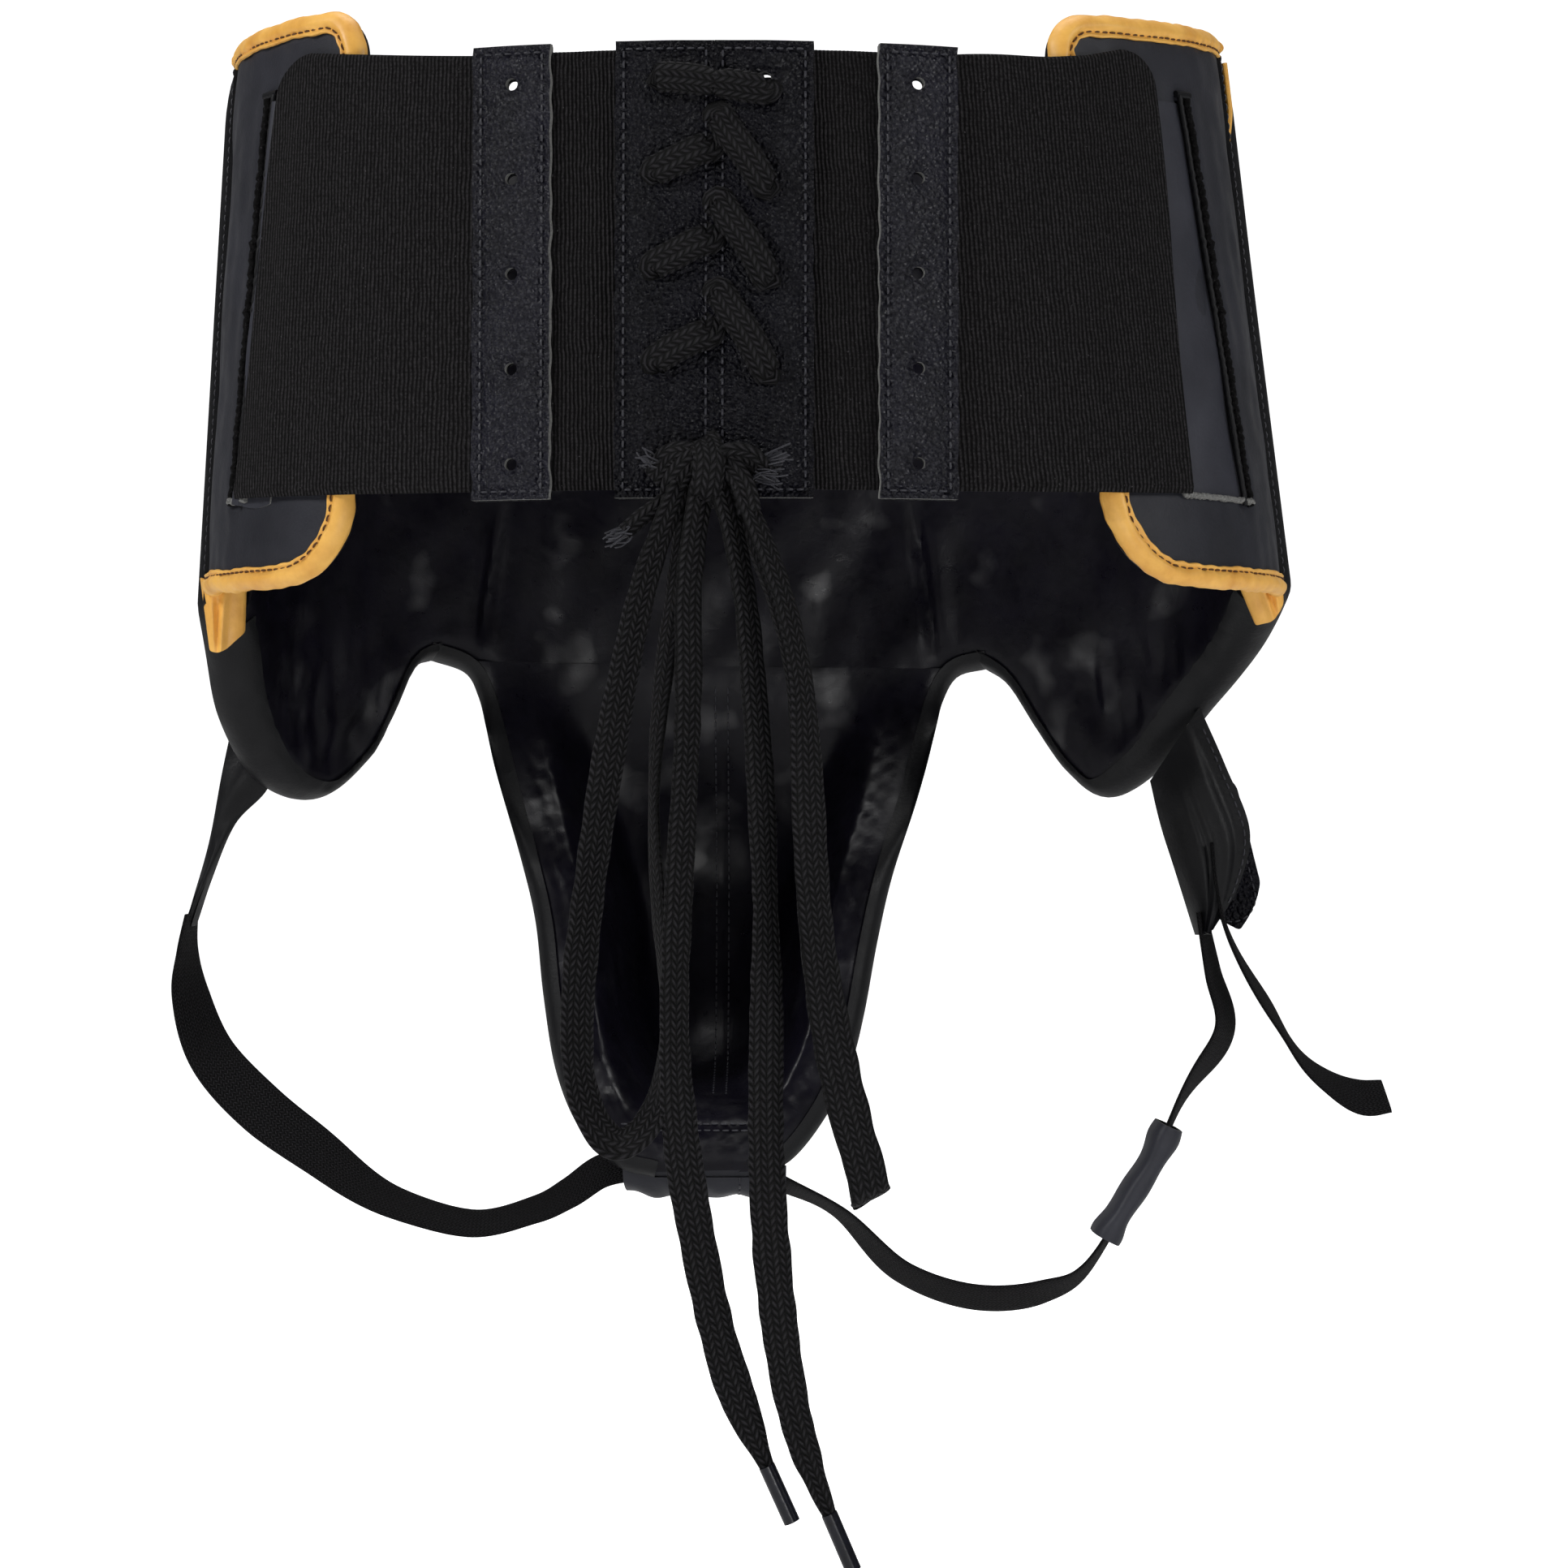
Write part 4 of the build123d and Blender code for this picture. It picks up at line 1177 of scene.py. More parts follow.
def wing_outer(sign, arc, z, from_edge, from_slot):
    """Puffed outside of a wing: lower along its bound edge and into its slot, with slack wrinkles by the side."""
    out = WING + 0.6 - 0.9 * (1.0 - round_edge(from_edge, 13.0)) - 1.5 * bell(from_slot, 2.6)
    out = out + 0.35 * bell(from_slot - 6.0, 3.0)
    slack = ease((arc - 120.0) / 50.0)
    return out + 0.28 * ripples(arc * sign, z * 0.5, 34.0, 51) * ease(from_edge / 12.0) + 0.16 * slack * ripples(arc, z, 12.0, 52)


def wing_inner(sign, arc, z, from_edge, from_slot):
    out = 9.3 * (1.0 - round_edge(from_edge, 22.0)) + 0.8 * bell(from_slot, 2.6)
    return out + 0.4 * ripples(arc * sign, z * 0.6, 24.0, 53) * ease(from_edge / 10.0)


def build_wing(sign, side, tape_width):
    arc, z, from_edge, from_slot, keep = wing_grid(sign, 0.4, SIDE_ARC, SLOT_GAP)
    outer = wing_outer(sign, arc, z, from_edge, from_slot)
    inner = wing_inner(sign, arc, z, from_edge, from_slot)
    cover = shell(
        f"{side}_wing_leather", ring_point(sign * arc, z, outer, BACK_WAY),
        ring_point(sign * arc, z, outer - 1.5, BACK_WAY), [MATERIALS["leather"], MATERIALS["soft_leather"]], keep,
        kinds=(0, 1, 1),
    )
    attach(cover, "root")
    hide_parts(f"{side}_wing_cover")
    lining = shell(
        f"{side}_wing_satin", ring_point(sign * arc, z, inner, BACK_WAY),
        ring_point(sign * arc, z, inner + SATIN, BACK_WAY), [MATERIALS["satin"]], keep,
    )
    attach(lining, "root")
    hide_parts(f"{side}_wing_lining")
    arc, z, from_edge, from_slot, keep = wing_grid(sign, 3.0, SIDE_ARC - 4.0, SLOT_GAP + 4.0, 20, 14)
    outer = wing_outer(sign, arc, z, from_edge, from_slot)
    inner = wing_inner(sign, arc, z, from_edge, from_slot)
    foam = shell(
        f"{side}_wing_pad", ring_point(sign * arc, z, outer - 1.8, BACK_WAY),
        ring_point(sign * arc, z, inner + 1.4, BACK_WAY), [MATERIALS["foam"]], keep,
    )
    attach(foam, "root")
    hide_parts(f"{side}_wing_foam")
    path = resample(wing_outline(sign), 300)
    outer, inner = tape_grid(path, BACK_WAY, sign, WING_EDGE, tape_width, 61 if sign > 0 else 71)
    tape = shell(f"{side}_wing_yellow_binding", outer, inner, [MATERIALS["binding"]])
    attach(tape, "root")
    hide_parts(f"{side}_wing_binding")
    build_tape_end(sign, side)
    return [tape_seam(path, BACK_WAY, sign, WING_EDGE, tape_width)]


# corners of each tape end in x and height: outer top, inner top, inner low, outer low
TAPE_END = {
    -1.0: ((-160.6, -82.0), (-146.5, -84.0), (-147.2, -98.0), (-158.0, -103.5)),
    1.0: ((173.4, -80.5), (159.5, -83.0), (165.0, -95.6), (173.8, -89.0)),
}


def build_tape_end(sign, side):
    """The tape's loose end at the wing's lower corner: pinched into folds that run down to a rounded tip."""
    a, b, c, d = (np.array(corner) for corner in TAPE_END[sign])
    u = np.linspace(0.0, 1.0, 41)[None, :, None]
    v = np.linspace(0.0, 1.0, 37)[:, None, None]
    place = mix(mix(a, b, u), mix(d, c, u), v)
    u, v = u[..., 0], v[..., 0]
    rounded = np.sqrt(np.clip(1.0 - (2.0 * u - 1.0) ** 2, 0.0, 1.0))
    x, z = place[..., 0], place[..., 1] - 2.4 * rounded * ease(v * 1.2 - 0.2) + 0.5 * np.sin(7.0 * u + 2.0)
    folds = 1.3 * bell(u - 0.62 + 0.25 * v, 0.1) - 1.1 * bell(u - 0.45 + 0.2 * v, 0.07) + 0.8 * bell(u - 0.22, 0.09)
    depth = -6.5 - 3.6 * rounded * (1.0 - 0.45 * v) - folds * ease(v * 2.5) + 1.5 * v
    front = as_points(*np.broadcast_arrays(x, depth, z))
    piece = shell(f"{side}_binding_end", front, front + [0.0, 2.2, 0.3], [MATERIALS["binding"]])
    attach(piece, "root")


# ---- elastic ----
ELASTIC_LOW, ELASTIC_TOP, ELASTIC_OUT, ELASTIC_THICK = -62.5, 62.0, 14.3, 1.8
ELASTIC_END = {1.0: (132.6, -0.083), -1.0: (135.2, -0.119)}   # x at z = 0, and its lean


def elastic_end(sign, z):
    """How far round the elastic panel's outer edge lies, with a rounded corner at its top."""
    start, lean = ELASTIC_END[sign]
    x = start + lean * z - 10.0 * (1.0 - round_edge(ELASTIC_TOP + 0.01 - z, 10.0))
    x = x + 0.5 * np.sin(z / 17.0)
    return np.abs(arc_at_x(sign * x, z, ELASTIC_OUT))


def elastic_rows(count):
    turn = np.linspace(0.0, math.pi / 2, 9)[:-1]
    top = ELASTIC_TOP - 10.0 * (1.0 - np.cos(turn))
    return np.concatenate([top, np.linspace(top[-1], ELASTIC_LOW, count)[1:]])


def elastic_shell(name, sign, arc, z, ribs, material, lift=0.0):
    """A stretched band: rounded at its top and lower edges, gathered by fine ripples."""
    near = np.minimum(ELASTIC_TOP - z, z - ELASTIC_LOW)
    half = 0.5 * ELASTIC_THICK * (0.3 + 0.7 * round_edge(near, 1.2))
    middle = ELASTIC_OUT + 0.5 * ELASTIC_THICK + 0.18 * ripples(arc * sign, z * 0.4, 26.0, 81)
    outer = ring_point(sign * arc, z + lift, middle + half + ribs, BACK_WAY)
    inner = ring_point(sign * arc, z + lift, middle - half, BACK_WAY)
    return shell(name, outer, inner, [material], uv=np.stack([arc * sign, z], axis=-1))


def build_elastic(sign, side):
    z = elastic_rows(64)
    start = np.abs(arc_at_x(sign * 60.5 + 0.0 * z, z, ELASTIC_OUT))
    arc = mix(start[:, None], elastic_end(sign, z)[:, None], np.linspace(0.0, 1.0, 90)[None])
    lift = 4.5 + 2.2 * z[:, None] / 62.0 + 2.5 * ease(z[:, None] / 62.0) * (sign > 0)
    lift = lift * np.linspace(0.0, 1.0, 90)[None] ** 1.4
    height = np.broadcast_to(z[:, None], arc.shape)
    panel = elastic_shell(f"{side}_ribbed_elastic", sign, arc, height, 0.0, MATERIALS["elastic"], lift)
    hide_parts(f"{side}_elastic_panel")
    rim = ring_point(sign * float(arc.mean()), 0.0, ELASTIC_OUT, BACK_WAY) * MM
    last = ring_point(sign * (float(arc.max()) - 3.0), 0.0, ELASTIC_OUT, BACK_WAY) * MM
    first = ring_point(sign * (float(arc.min()) + 14.0), 0.0, ELASTIC_OUT, BACK_WAY) * MM
    del rim
    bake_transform(panel)

    z = elastic_rows(60)
    start = np.abs(arc_at_x(sign * 19.0 + 0.0 * z, z, ELASTIC_OUT))
    end = np.abs(arc_at_x(sign * 53.5 + 0.0 * z, z, ELASTIC_OUT))
    share = np.linspace(0.0, 1.0, 190)[None]
    arc = mix(start[:, None], end[:, None], share)
    height = np.broadcast_to(z[:, None], arc.shape)
    ribs = 0.14 * np.sin(math.tau * arc / 1.15 + 0.5 * np.sin(height / 7.0)) + 0.3 * ripples(arc, height * 0.25, 13.0, 83)
    gusset = elastic_shell(f"{side}_gathered_elastic", sign, arc, height, ribs, MATERIALS["gusset"])
    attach(gusset, f"{side}_back")
    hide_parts(f"{side}_elastic_gusset")


def ring_band(name, arc, z, out, width, thick, material, body="root"):
    """A flat band that lies on the ring along a line."""
    line = ring_point(arc, z, out, BACK_WAY)
    facing = unit(ring_point(arc, z, out + 3.0, BACK_WAY) - line)
    points, faces = tube_parts(band(line, np.cross(tangents(line), facing), width, thick, 14, 2.4))
    piece = make_piece(name, points, faces, [MATERIALS[material]])
    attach(piece, body)
    return piece


def build_slot_rim(sign, side):
    """The slot's turned edges: a raised lip on its far side, and a corded one on the tongue's side."""
    z = np.linspace(SLOT_TOP + 1.0, SLOT_LOW - 1.5, 150)
    slot = slot_arc(sign, z)
    rough = 0.25 * ripples(z, 0.0 * z, 2.6, 95)
    ring_band(f"{side}_slot_far_lip", sign * (slot + 3.1 + rough), z, WING + 0.9 + rough, 3.0, 2.2, "lip")
    ring_band(f"{side}_slot_near_lip", sign * (slot - 2.6), z, WING + 2.1 + 0.5 * rough, 1.7, 1.6, "soft_leather")
    arc = np.linspace(float(slot[0]) - 3.5, float(slot[0]) + 4.0, 30)
    ring_band(f"{side}_slot_top_lip", sign * arc, SLOT_TOP + 1.6 + 0.0 * arc, WING + 1.5, 2.0, 1.7, "soft_leather")
    arc = np.linspace(float(elastic_end(sign, -50.0)) - 2.0, float(slot[-1]) + 3.8, 60)
    rough = 0.3 * ripples(arc, 0.0 * arc, 2.2, 97)
    ring_band(f"{side}_tongue_raw_edge", sign * arc, -60.6 + rough, WING + 1.6 + rough, 1.7, 1.7, "cut_edge")


def build_tongue(sign, side):
    """Leather tongue, sewn under the elastic's end, that dives through the wing's slot and lies flat inside it."""
    z = np.linspace(57.0, -59.5, 70)
    end, slot = elastic_end(sign, np.minimum(z, 50.0)), slot_arc(sign, z)
    inside = np.abs(arc_at_back_y(-14.0, z, 0.0))
    path = [
        (end - 15.0, 13.3), (end - 6.0, 13.5), (0.5 * (end + slot), 13.9), (slot - 4.0, 13.6), (slot - 0.9, 12.0),
        (slot, 6.0), (slot + 0.5, 0.5), (slot + 3.5, -1.4), (mix(slot, inside, 0.5), -1.6), (inside, -1.6),
    ]
    knots = np.array([np.concatenate([arc, 0.0 * arc + out]) for arc, out in path])
    curve = smooth_curve(knots, 7)
    arc, out = curve[:, :len(z)].T, curve[:, len(z):].T
    height = np.broadcast_to(z[:, None], arc.shape)
    height = height - 4.0 * ease((-z[:, None] - 40.0) / 20.0) * bell(arc - slot[:, None] + 12.0, 14.0) * (1 if sign < 0 else 0.4)
    out = out + 0.35 * ripples(arc, height * 0.5, 22.0, 91)
    side_on = np.gradient(np.stack([arc, out], axis=-1), axis=1)
    normal = unit(np.stack([-side_on[..., 1], side_on[..., 0]], axis=-1))
    outer = ring_point(sign * arc, height, out, BACK_WAY)
    inner = ring_point(sign * (arc - 1.4 * normal[..., 0]), height, out - 1.4 * normal[..., 1], BACK_WAY)
    # painted light: the tongue's leather is 1.5 times lighter than the wings' charcoal, for the light on its face
    piece = shell(
        f"{side}_leather_tongue", outer, inner, [MATERIALS["tongue_leather"], MATERIALS["cut_edge"]], kinds=(0, 0, 1)
    )
    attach(piece, "root")
    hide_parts(f"{side}_tongue")


# ---- pebbled strips with their holes ----
STRIP_LOW, STRIP_TOP, STRIP_OUT, STRIP_THICK = -65.0, 64.0, 16.2, 1.9
HOLES = (53.0, 26.0, -1.0, -28.0, -55.0)


def strip_lines(centres, low, high, hole, free, cuts=8):
    """Grid lines from low to high that box each hole and cut each box finely."""
    lines, at = [], low
    for centre in sorted(centres):
        lines.append(np.linspace(at, centre - hole, free, endpoint=False))
        lines.append(np.linspace(centre - hole, centre + hole, cuts + 1)[:-1])
        at = centre + hole
    lines.append(np.linspace(at, high, free))
    return np.concatenate(lines)


def strip_grid(centre, half, hole):
    """A grid whose square openings are drawn into circles, as is the grid round each."""
    x = strip_lines([0.0], -half, half, hole, 12)
    z = strip_lines(HOLES, STRIP_LOW, STRIP_TOP, hole, 14)
    u, v = np.meshgrid(x, z)
    keep = np.ones((len(z) - 1, len(x) - 1), bool)
    from_hole = np.full(u.shape, 99.0)
    mid_u, mid_v = 0.5 * (u[1:, 1:] + u[:-1, :-1]), 0.5 * (v[1:, 1:] + v[:-1, :-1])
    moved_u, moved_v = u.copy(), v.copy()
    for height in HOLES:
        dv = v - height
        box = np.maximum(np.abs(u), np.abs(dv))
        length = np.maximum(np.hypot(u, dv), 1e-6)
        pull = mix(box / length, 1.0, ease((box - hole) / (2.2 * hole)))
        near = box < 3.3 * hole
        moved_u = np.where(near, u * pull, moved_u)
        moved_v = np.where(near, height + dv * pull, moved_v)
        from_hole = np.minimum(from_hole, np.hypot(u * pull, dv * pull) - hole)
        keep &= ~(np.maximum(np.abs(mid_u), np.abs(mid_v - height)) < hole)
    return moved_u, moved_v, from_hole, keep


def strip_out(u, v, half, from_hole, seed):
    """Puffed strip: down at its stitches and holes, with a slight wave."""
    edge = np.minimum(np.minimum(half - np.abs(u), v - STRIP_LOW), STRIP_TOP - v)
    out = STRIP_OUT + STRIP_THICK + 0.35 * ease((edge - 3.0) / 5.0) - 0.45 * bell(edge - 2.3, 0.9)
    return out - 0.75 * bell(np.maximum(from_hole, 0.0), 1.5) + 0.15 * ripples(u, v * 0.6, 20.0, seed)


def build_strip(name, node, body, sign, centre, half, hole, seed, seam_inset=2.3):
    u, v, from_hole, keep = strip_grid(centre, half, hole)
    ragged = 0.22 * ripples(u * 0.0, v, 9.0, seed + 3) * ease((np.abs(u) - half + 3.0) / 3.0)
    arc = arc_at_x(centre + u + ragged, v, STRIP_OUT)
    out = strip_out(u, v, half, from_hole, seed)
    outer = ring_point(arc, v, out, BACK_WAY)
    inner = ring_point(arc, v, 0.0 * out + STRIP_OUT, BACK_WAY)
    leather = "pebbled" if "lacing" in name else "shiny_pebbled"
    piece = shell(
        name, outer, inner, [MATERIALS[leather], MATERIALS["cut_edge"]], keep, kinds=(0, 0, 1), sharp=50.0
    )
    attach(piece, body)
    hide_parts(node)
    reach = half - seam_inset
    corners = [(-reach, STRIP_TOP - 2.3), (-reach, STRIP_LOW + 2.3), (reach, STRIP_LOW + 2.3), (reach, STRIP_TOP - 2.3)]
    lines = []
    for a, b in zip(corners, corners[1:] + corners[:1]):
        side = resample(np.array([a, b], float), max(12, int(np.hypot(*(np.subtract(b, a))) / 1.5)))
        u, v = side[:, 0], side[:, 1]
        out = STRIP_OUT + STRIP_THICK - 0.42
        lines.append(surface_line(arc_at_x(centre + u, v, STRIP_OUT), v, out, BACK_WAY))
    stitching(f"{name}_stitches", lines, body, pitch=2.9, long=2.0, thick=0.72, lift=0.3)


# ---- laces ----
LACE_LINES = {
    "left_end": [
        (-3, -121, -62), (-7.5, -121.5, -86), (-6.5, -121, -118), (-9, -120, -164), (-11.4, -119, -209),
        (-9.5, -119, -243), (-4.6, -119, -271), (0.5, -118, -296), (7, -118, -317), (14.7, -118, -334),
    ],
    "right_end": [
        (2, -121, -62), (8, -122, -84), (11.3, -122.5, -118), (13.6, -122, -153), (14.9, -121, -198),
        (14.2, -120, -243), (16, -120, -277), (20.4, -119, -312), (26, -119, -333), (32, -119, -347),
    ],
    "left_loop": [
        (-9, -121, -62), (-15, -122, -76), (-21, -123, -96), (-28.5, -124, -134), (-34.8, -124, -177),
        (-38, -123, -208), (-37, -121, -232), (-28, -119, -247), (-17, -117, -240), (-13, -115.5, -220),
        (-14.5, -115, -190), (-17.5, -115, -151), (-14, -115, -112), (-9, -115.5, -82), (-7, -115.8, -62),
    ],
    "right_loop": [
        (7, -121, -62), (13, -123, -76), (20, -125, -95), (25, -125.5, -118), (26, -125, -146),
        (27.5, -124, -178), (32, -124, -212), (38, -123, -238), (42, -123, -251), (43.5, -122.5, -259),
        (43.5, -114.5, -259.5), (42, -114, -251), (37, -114, -238), (31, -114, -212), (26.5, -115, -178),
        (25, -116.5, -146), (24, -117, -118), (18, -117, -93), (11, -116.5, -76), (5, -115.8, -62),
    ],
}


def spline_points(points, order=3, resolution=24):
    """The line of a clamped spline through control points in mm, read back from a curve object, in mm."""
    curve = bpy.data.curves.new("line", "CURVE")
    curve.dimensions = "3D"
    curve.resolution_u = resolution
    spline = curve.splines.new("NURBS")
    spline.points.add(len(points) - 1)
    for point, place in zip(spline.points, points):
        point.co = (*(value * MM for value in place), 1.0)
    spline.order_u = order
    spline.use_endpoint_u = True
    holder = bpy.data.objects.new("line", curve)
    bpy.context.scene.collection.objects.link(holder)
    bpy.context.view_layer.update()
    mesh = bpy.data.meshes.new_from_object(holder)
    found = np.zeros(len(mesh.vertices) * 3)
    mesh.vertices.foreach_get("co", found)
    bpy.data.objects.remove(holder)
    bpy.data.curves.remove(curve)
    bpy.data.meshes.remove(mesh)
    return found.reshape(-1, 3) / MM


def lace_band(line, width, thick, turn_knots, seed):
    """A flat lace: its flat side turned by angles given along its length, slightly cupped and uneven."""
    run = lengths(line)
    share = run / run[-1]
    places, degrees = zip(*turn_knots)
    angle = np.radians(np.interp(share, places, degrees))
    angle = angle + 0.12 * ripples(run, 0.0 * run, 60.0, seed)
    facing = np.array([0.0, 1.0, 0.0])
    along = tangents(line)
    level = unit(np.cross(along, np.broadcast_to(facing, along.shape)))
    upward = np.cross(level, along)
    across = level * np.cos(angle)[:, None] + upward * np.sin(angle)[:, None]
    uneven = 1.0 + 0.03 * ripples(run, 0.0 * run, 11.0, seed + 1)
    return band(line, across, width * uneven, thick, 20, 2.6)


def lace_piece(name, line, width, thick, turns, seed, material="braid"):
    rings = lace_band(line, width, thick, turns, seed)
    points, faces = tube_parts(rings)
    return make_piece(name, points, faces, [MATERIALS[material]], band_uv(line, width, rings.shape[1]), sharp=60.0)


def hanging_lace(side, kind, widths, thick, turns, seed):
    """One hanging lace: a flat band along its line, with its real length."""
    key = f"{side}_{kind}"
    line = spline_points(LACE_LINES[key])
    line = resample(line, int(lengths(line)[-1] / 1.1))
    share = np.linspace(0.0, 1.0, len(line))
    places, sizes = zip(*widths)
    piece = lace_piece(f"{side}_lace_{kind}_braid", line, np.interp(share, places, sizes), thick, turns, seed)
    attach(piece, "root")
    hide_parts(f"{side}_lace_{kind}")
    return line


# x, height and how far the lace stands off the strips, from a hole to the middle
LACING = {
    -1.0: [
        [(-14.5, 53.0, -3.0), (-15.2, 53.2, 1.2), (-11.0, 53.0, 2.4), (-5.0, 52.2, 3.0), (0.0, 51.3, 3.1)],
        [(-14.5, 26.0, -3.0), (-17.0, 26.3, 1.2), (-11.0, 29.3, 2.3), (-5.0, 32.3, 2.0), (-1.0, 34.0, 0.2), (0.2, 38.2, -1.6)],
        [(-14.5, -1.0, -3.0), (-17.0, -0.2, 1.2), (-11.0, 3.0, 2.3), (-5.0, 6.2, 2.0), (-1.0, 8.0, 0.2), (0.2, 13.0, -1.6)],
        [(-14.5, -28.0, -3.0), (-16.5, -27.0, 1.2), (-11.0, -23.4, 2.3), (-5.0, -20.4, 2.0), (-1.0, -18.4, 0.2), (0.2, -12.0, -1.6)],
        [(-14.5, -55.0, -3.0), (-14.5, -56.5, 1.2), (-10.0, -57.0, 3.0), (-4.0, -57.5, 5.0), (0.0, -58.0, 6.0)],
    ],
    1.0: [
        [(14.5, 53.0, -3.0), (14.6, 50.0, 1.4), (10.0, 50.0, 2.5), (5.0, 50.8, 3.0), (0.0, 51.3, 3.1)],
        [(14.5, 26.0, -3.0), (14.4, 22.4, 1.6), (9.5, 30.0, 2.8), (4.5, 37.0, 2.6), (1.0, 42.5, 0.2), (0.2, 38.2, -1.6)],
        [(14.5, -1.0, -3.0), (14.6, -3.6, 1.6), (9.8, 5.5, 2.8), (4.5, 13.0, 2.6), (1.0, 18.4, 0.2), (0.2, 13.0, -1.6)],
        [(14.5, -28.0, -3.0), (14.6, -30.0, 1.6), (9.8, -20.5, 2.8), (4.5, -12.5, 2.6), (1.0, -7.0, 0.2), (0.2, -12.0, -1.6)],
        [(14.5, -55.0, -3.0), (14.5, -56.5, 1.2), (10.0, -57.0, 3.0), (4.0, -57.5, 5.0), (0.0, -58.0, 6.0)],
    ],
}


def build_lacing(sign, side):
    """One half of the criss-cross lace: flat bands that rise from each hole, arch over and meet in the middle."""
    parts, run_uv = [], []
    for points in LACING[sign]:
        knots = smooth_curve(np.array(points, float), 9)
        x, z, off = knots.T
        arc = arc_at_x(x, z, STRIP_OUT + STRIP_THICK)
        line = ring_point(arc, z, STRIP_OUT + STRIP_THICK + off, BACK_WAY)
        facing = unit(ring_point(arc, z, STRIP_OUT + off + 12.0, BACK_WAY) - line)
        across = np.cross(tangents(line), facing)
        share = np.linspace(0.0, 1.0, len(line))
        width = 8.8 - 3.6 * bell(share, 0.12) - 2.0 * bell(share - 1.0, 0.1)
        parts.append(tube_parts(band(line, across, width, 2.1, 20, 2.6)))
        run_uv.append(band_uv(line, width, 20))
    points, faces = joined(parts)
    piece = make_piece(f"{side}_criss_cross_lace", points, faces, [MATERIALS["braid"]], np.concatenate(run_uv), sharp=60.0)
    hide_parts(f"{side}_lacing")
    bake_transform(piece)


def build_knot():
    """The bow's knot: a band wrapped over the middle, with short bights that lead into the laces, and frayed ends."""
    paths = [
        ([(-3, -112.5, -50), (-2, -119.5, -51), (-1, -124.6, -56), (-2, -123.6, -64), (-3, -117, -67)], 9.0, 20.0),
        ([(-17, -116.0, -60), (-12, -119, -54), (-5, -121, -54.5), (3, -121, -58.5), (6, -119, -62)], 7.2, 35.0),
        ([(-12, -117, -69), (-11, -121, -62), (-6, -122.5, -56), (-1, -121, -54), (2, -117, -55)], 6.6, -20.0),
        ([(14, -117, -58), (10, -120.5, -54.5), (4, -121.5, -54), (1, -120.5, -59), (3, -121, -66)], 6.8, 40.0),
        ([(-4, -118, -54), (3, -121.5, -56.5), (8, -122.5, -62), (10, -122, -70)], 7.0, 15.0),
    ]
    parts, run_uv = [], []
    for points, width, turn in paths:
        line = smooth_curve(np.array(points, float), 12)
        rings = lace_band(line, width, 2.6, [(0.0, turn), (1.0, turn * 0.3)], int(width * 10))
        parts.append(tube_parts(rings))
        run_uv.append(band_uv(line, width, rings.shape[1]))
    points, faces = joined(parts)
    piece = make_piece("bow_knot", points, faces, [MATERIALS["braid"]], np.concatenate(run_uv), sharp=60.0)
    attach(piece, "root")
    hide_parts("lace_knot")
    random = np.random.default_rng(17)
    fibres = []
    for base, way, count, reach in (
        ((13.0, -117.0, -56.0), (1.0, -0.12, 0.32), 26, 9.0), ((-24.0, -121.5, -75.0), (-1.0, 0.0, -0.5), 20, 6.0),
        ((-16.0, -117.0, -56.5), (-1.0, -0.1, 0.45), 14, 6.0), ((12.0, -117.5, -59.5), (1.0, -0.1, -0.1), 16, 8.0),
    ):
        for _ in range(count):
            start = np.array(base) + random.uniform(-1.7, 1.7, 3)
            tip = start + unit(np.array(way) + random.uniform(-0.35, 0.35, 3)) * reach * random.uniform(0.6, 1.0)
            middle = 0.5 * (start + tip) + random.uniform(-0.9, 0.9, 3)
            line = smooth_curve(np.array([start, middle, tip]), 4)
            fibres.append(tube_parts(band(line, np.broadcast_to([0.0, 0.2, 1.0], line.shape), 0.5, 0.5, 5, 2.0)))
    points, faces = joined(fibres)
    frays = make_piece("frayed_threads", points, faces, [MATERIALS["thread"]])
    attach(frays, "root")


def frayed_stub():
    line = smooth_curve(np.array([(-10, -119, -64), (-15, -121, -68), (-20, -121.5, -71.5), (-24.5, -121.5, -75.5)], float), 8)
    points, faces = tube_parts(lace_band(line, 5.0, 2.0, [(0.0, 0.0), (1.0, 20.0)], 5))
    piece = make_piece("frayed_lace_stub", points, faces, [MATERIALS["braid"]], band_uv(line, 5.0, 20), sharp=60.0)
    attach(piece, "root")


# ---- leg gear ----
LEFT_STRAP = [(-172.3, -187), (-173.6, -199), (-172.5, -213), (-165.5, -233), (-150, -250), (-131, -264), (-107, -280),
              (-82, -287), (-61, -283), (-50, -277.5), (-40, -270.5), (-30, -268)]
RIGHT_STRAP = [(154.5, -186), (158.0, -206), (162, -226), (147, -250), (121, -297), (103, -309), (80, -312), (58, -303),
               (38, -284), (17, -273.5)]
TAIL = [(157.1, -164), (159.5, -180), (164.0, -195), (175.6, -217), (186, -232.8), (196.6, -242), (206, -246.5), (214.5, -246)]
SLEEVE_ENDS = ((144.0, -255.4), (124.0, -291.6))


def strap_line(points, depth=STRAP_Y):
    curve = smooth_curve(np.array(points, float), 16)
    return as_points(curve[:, 0], depth + 0.0 * curve[:, 0], curve[:, 1])


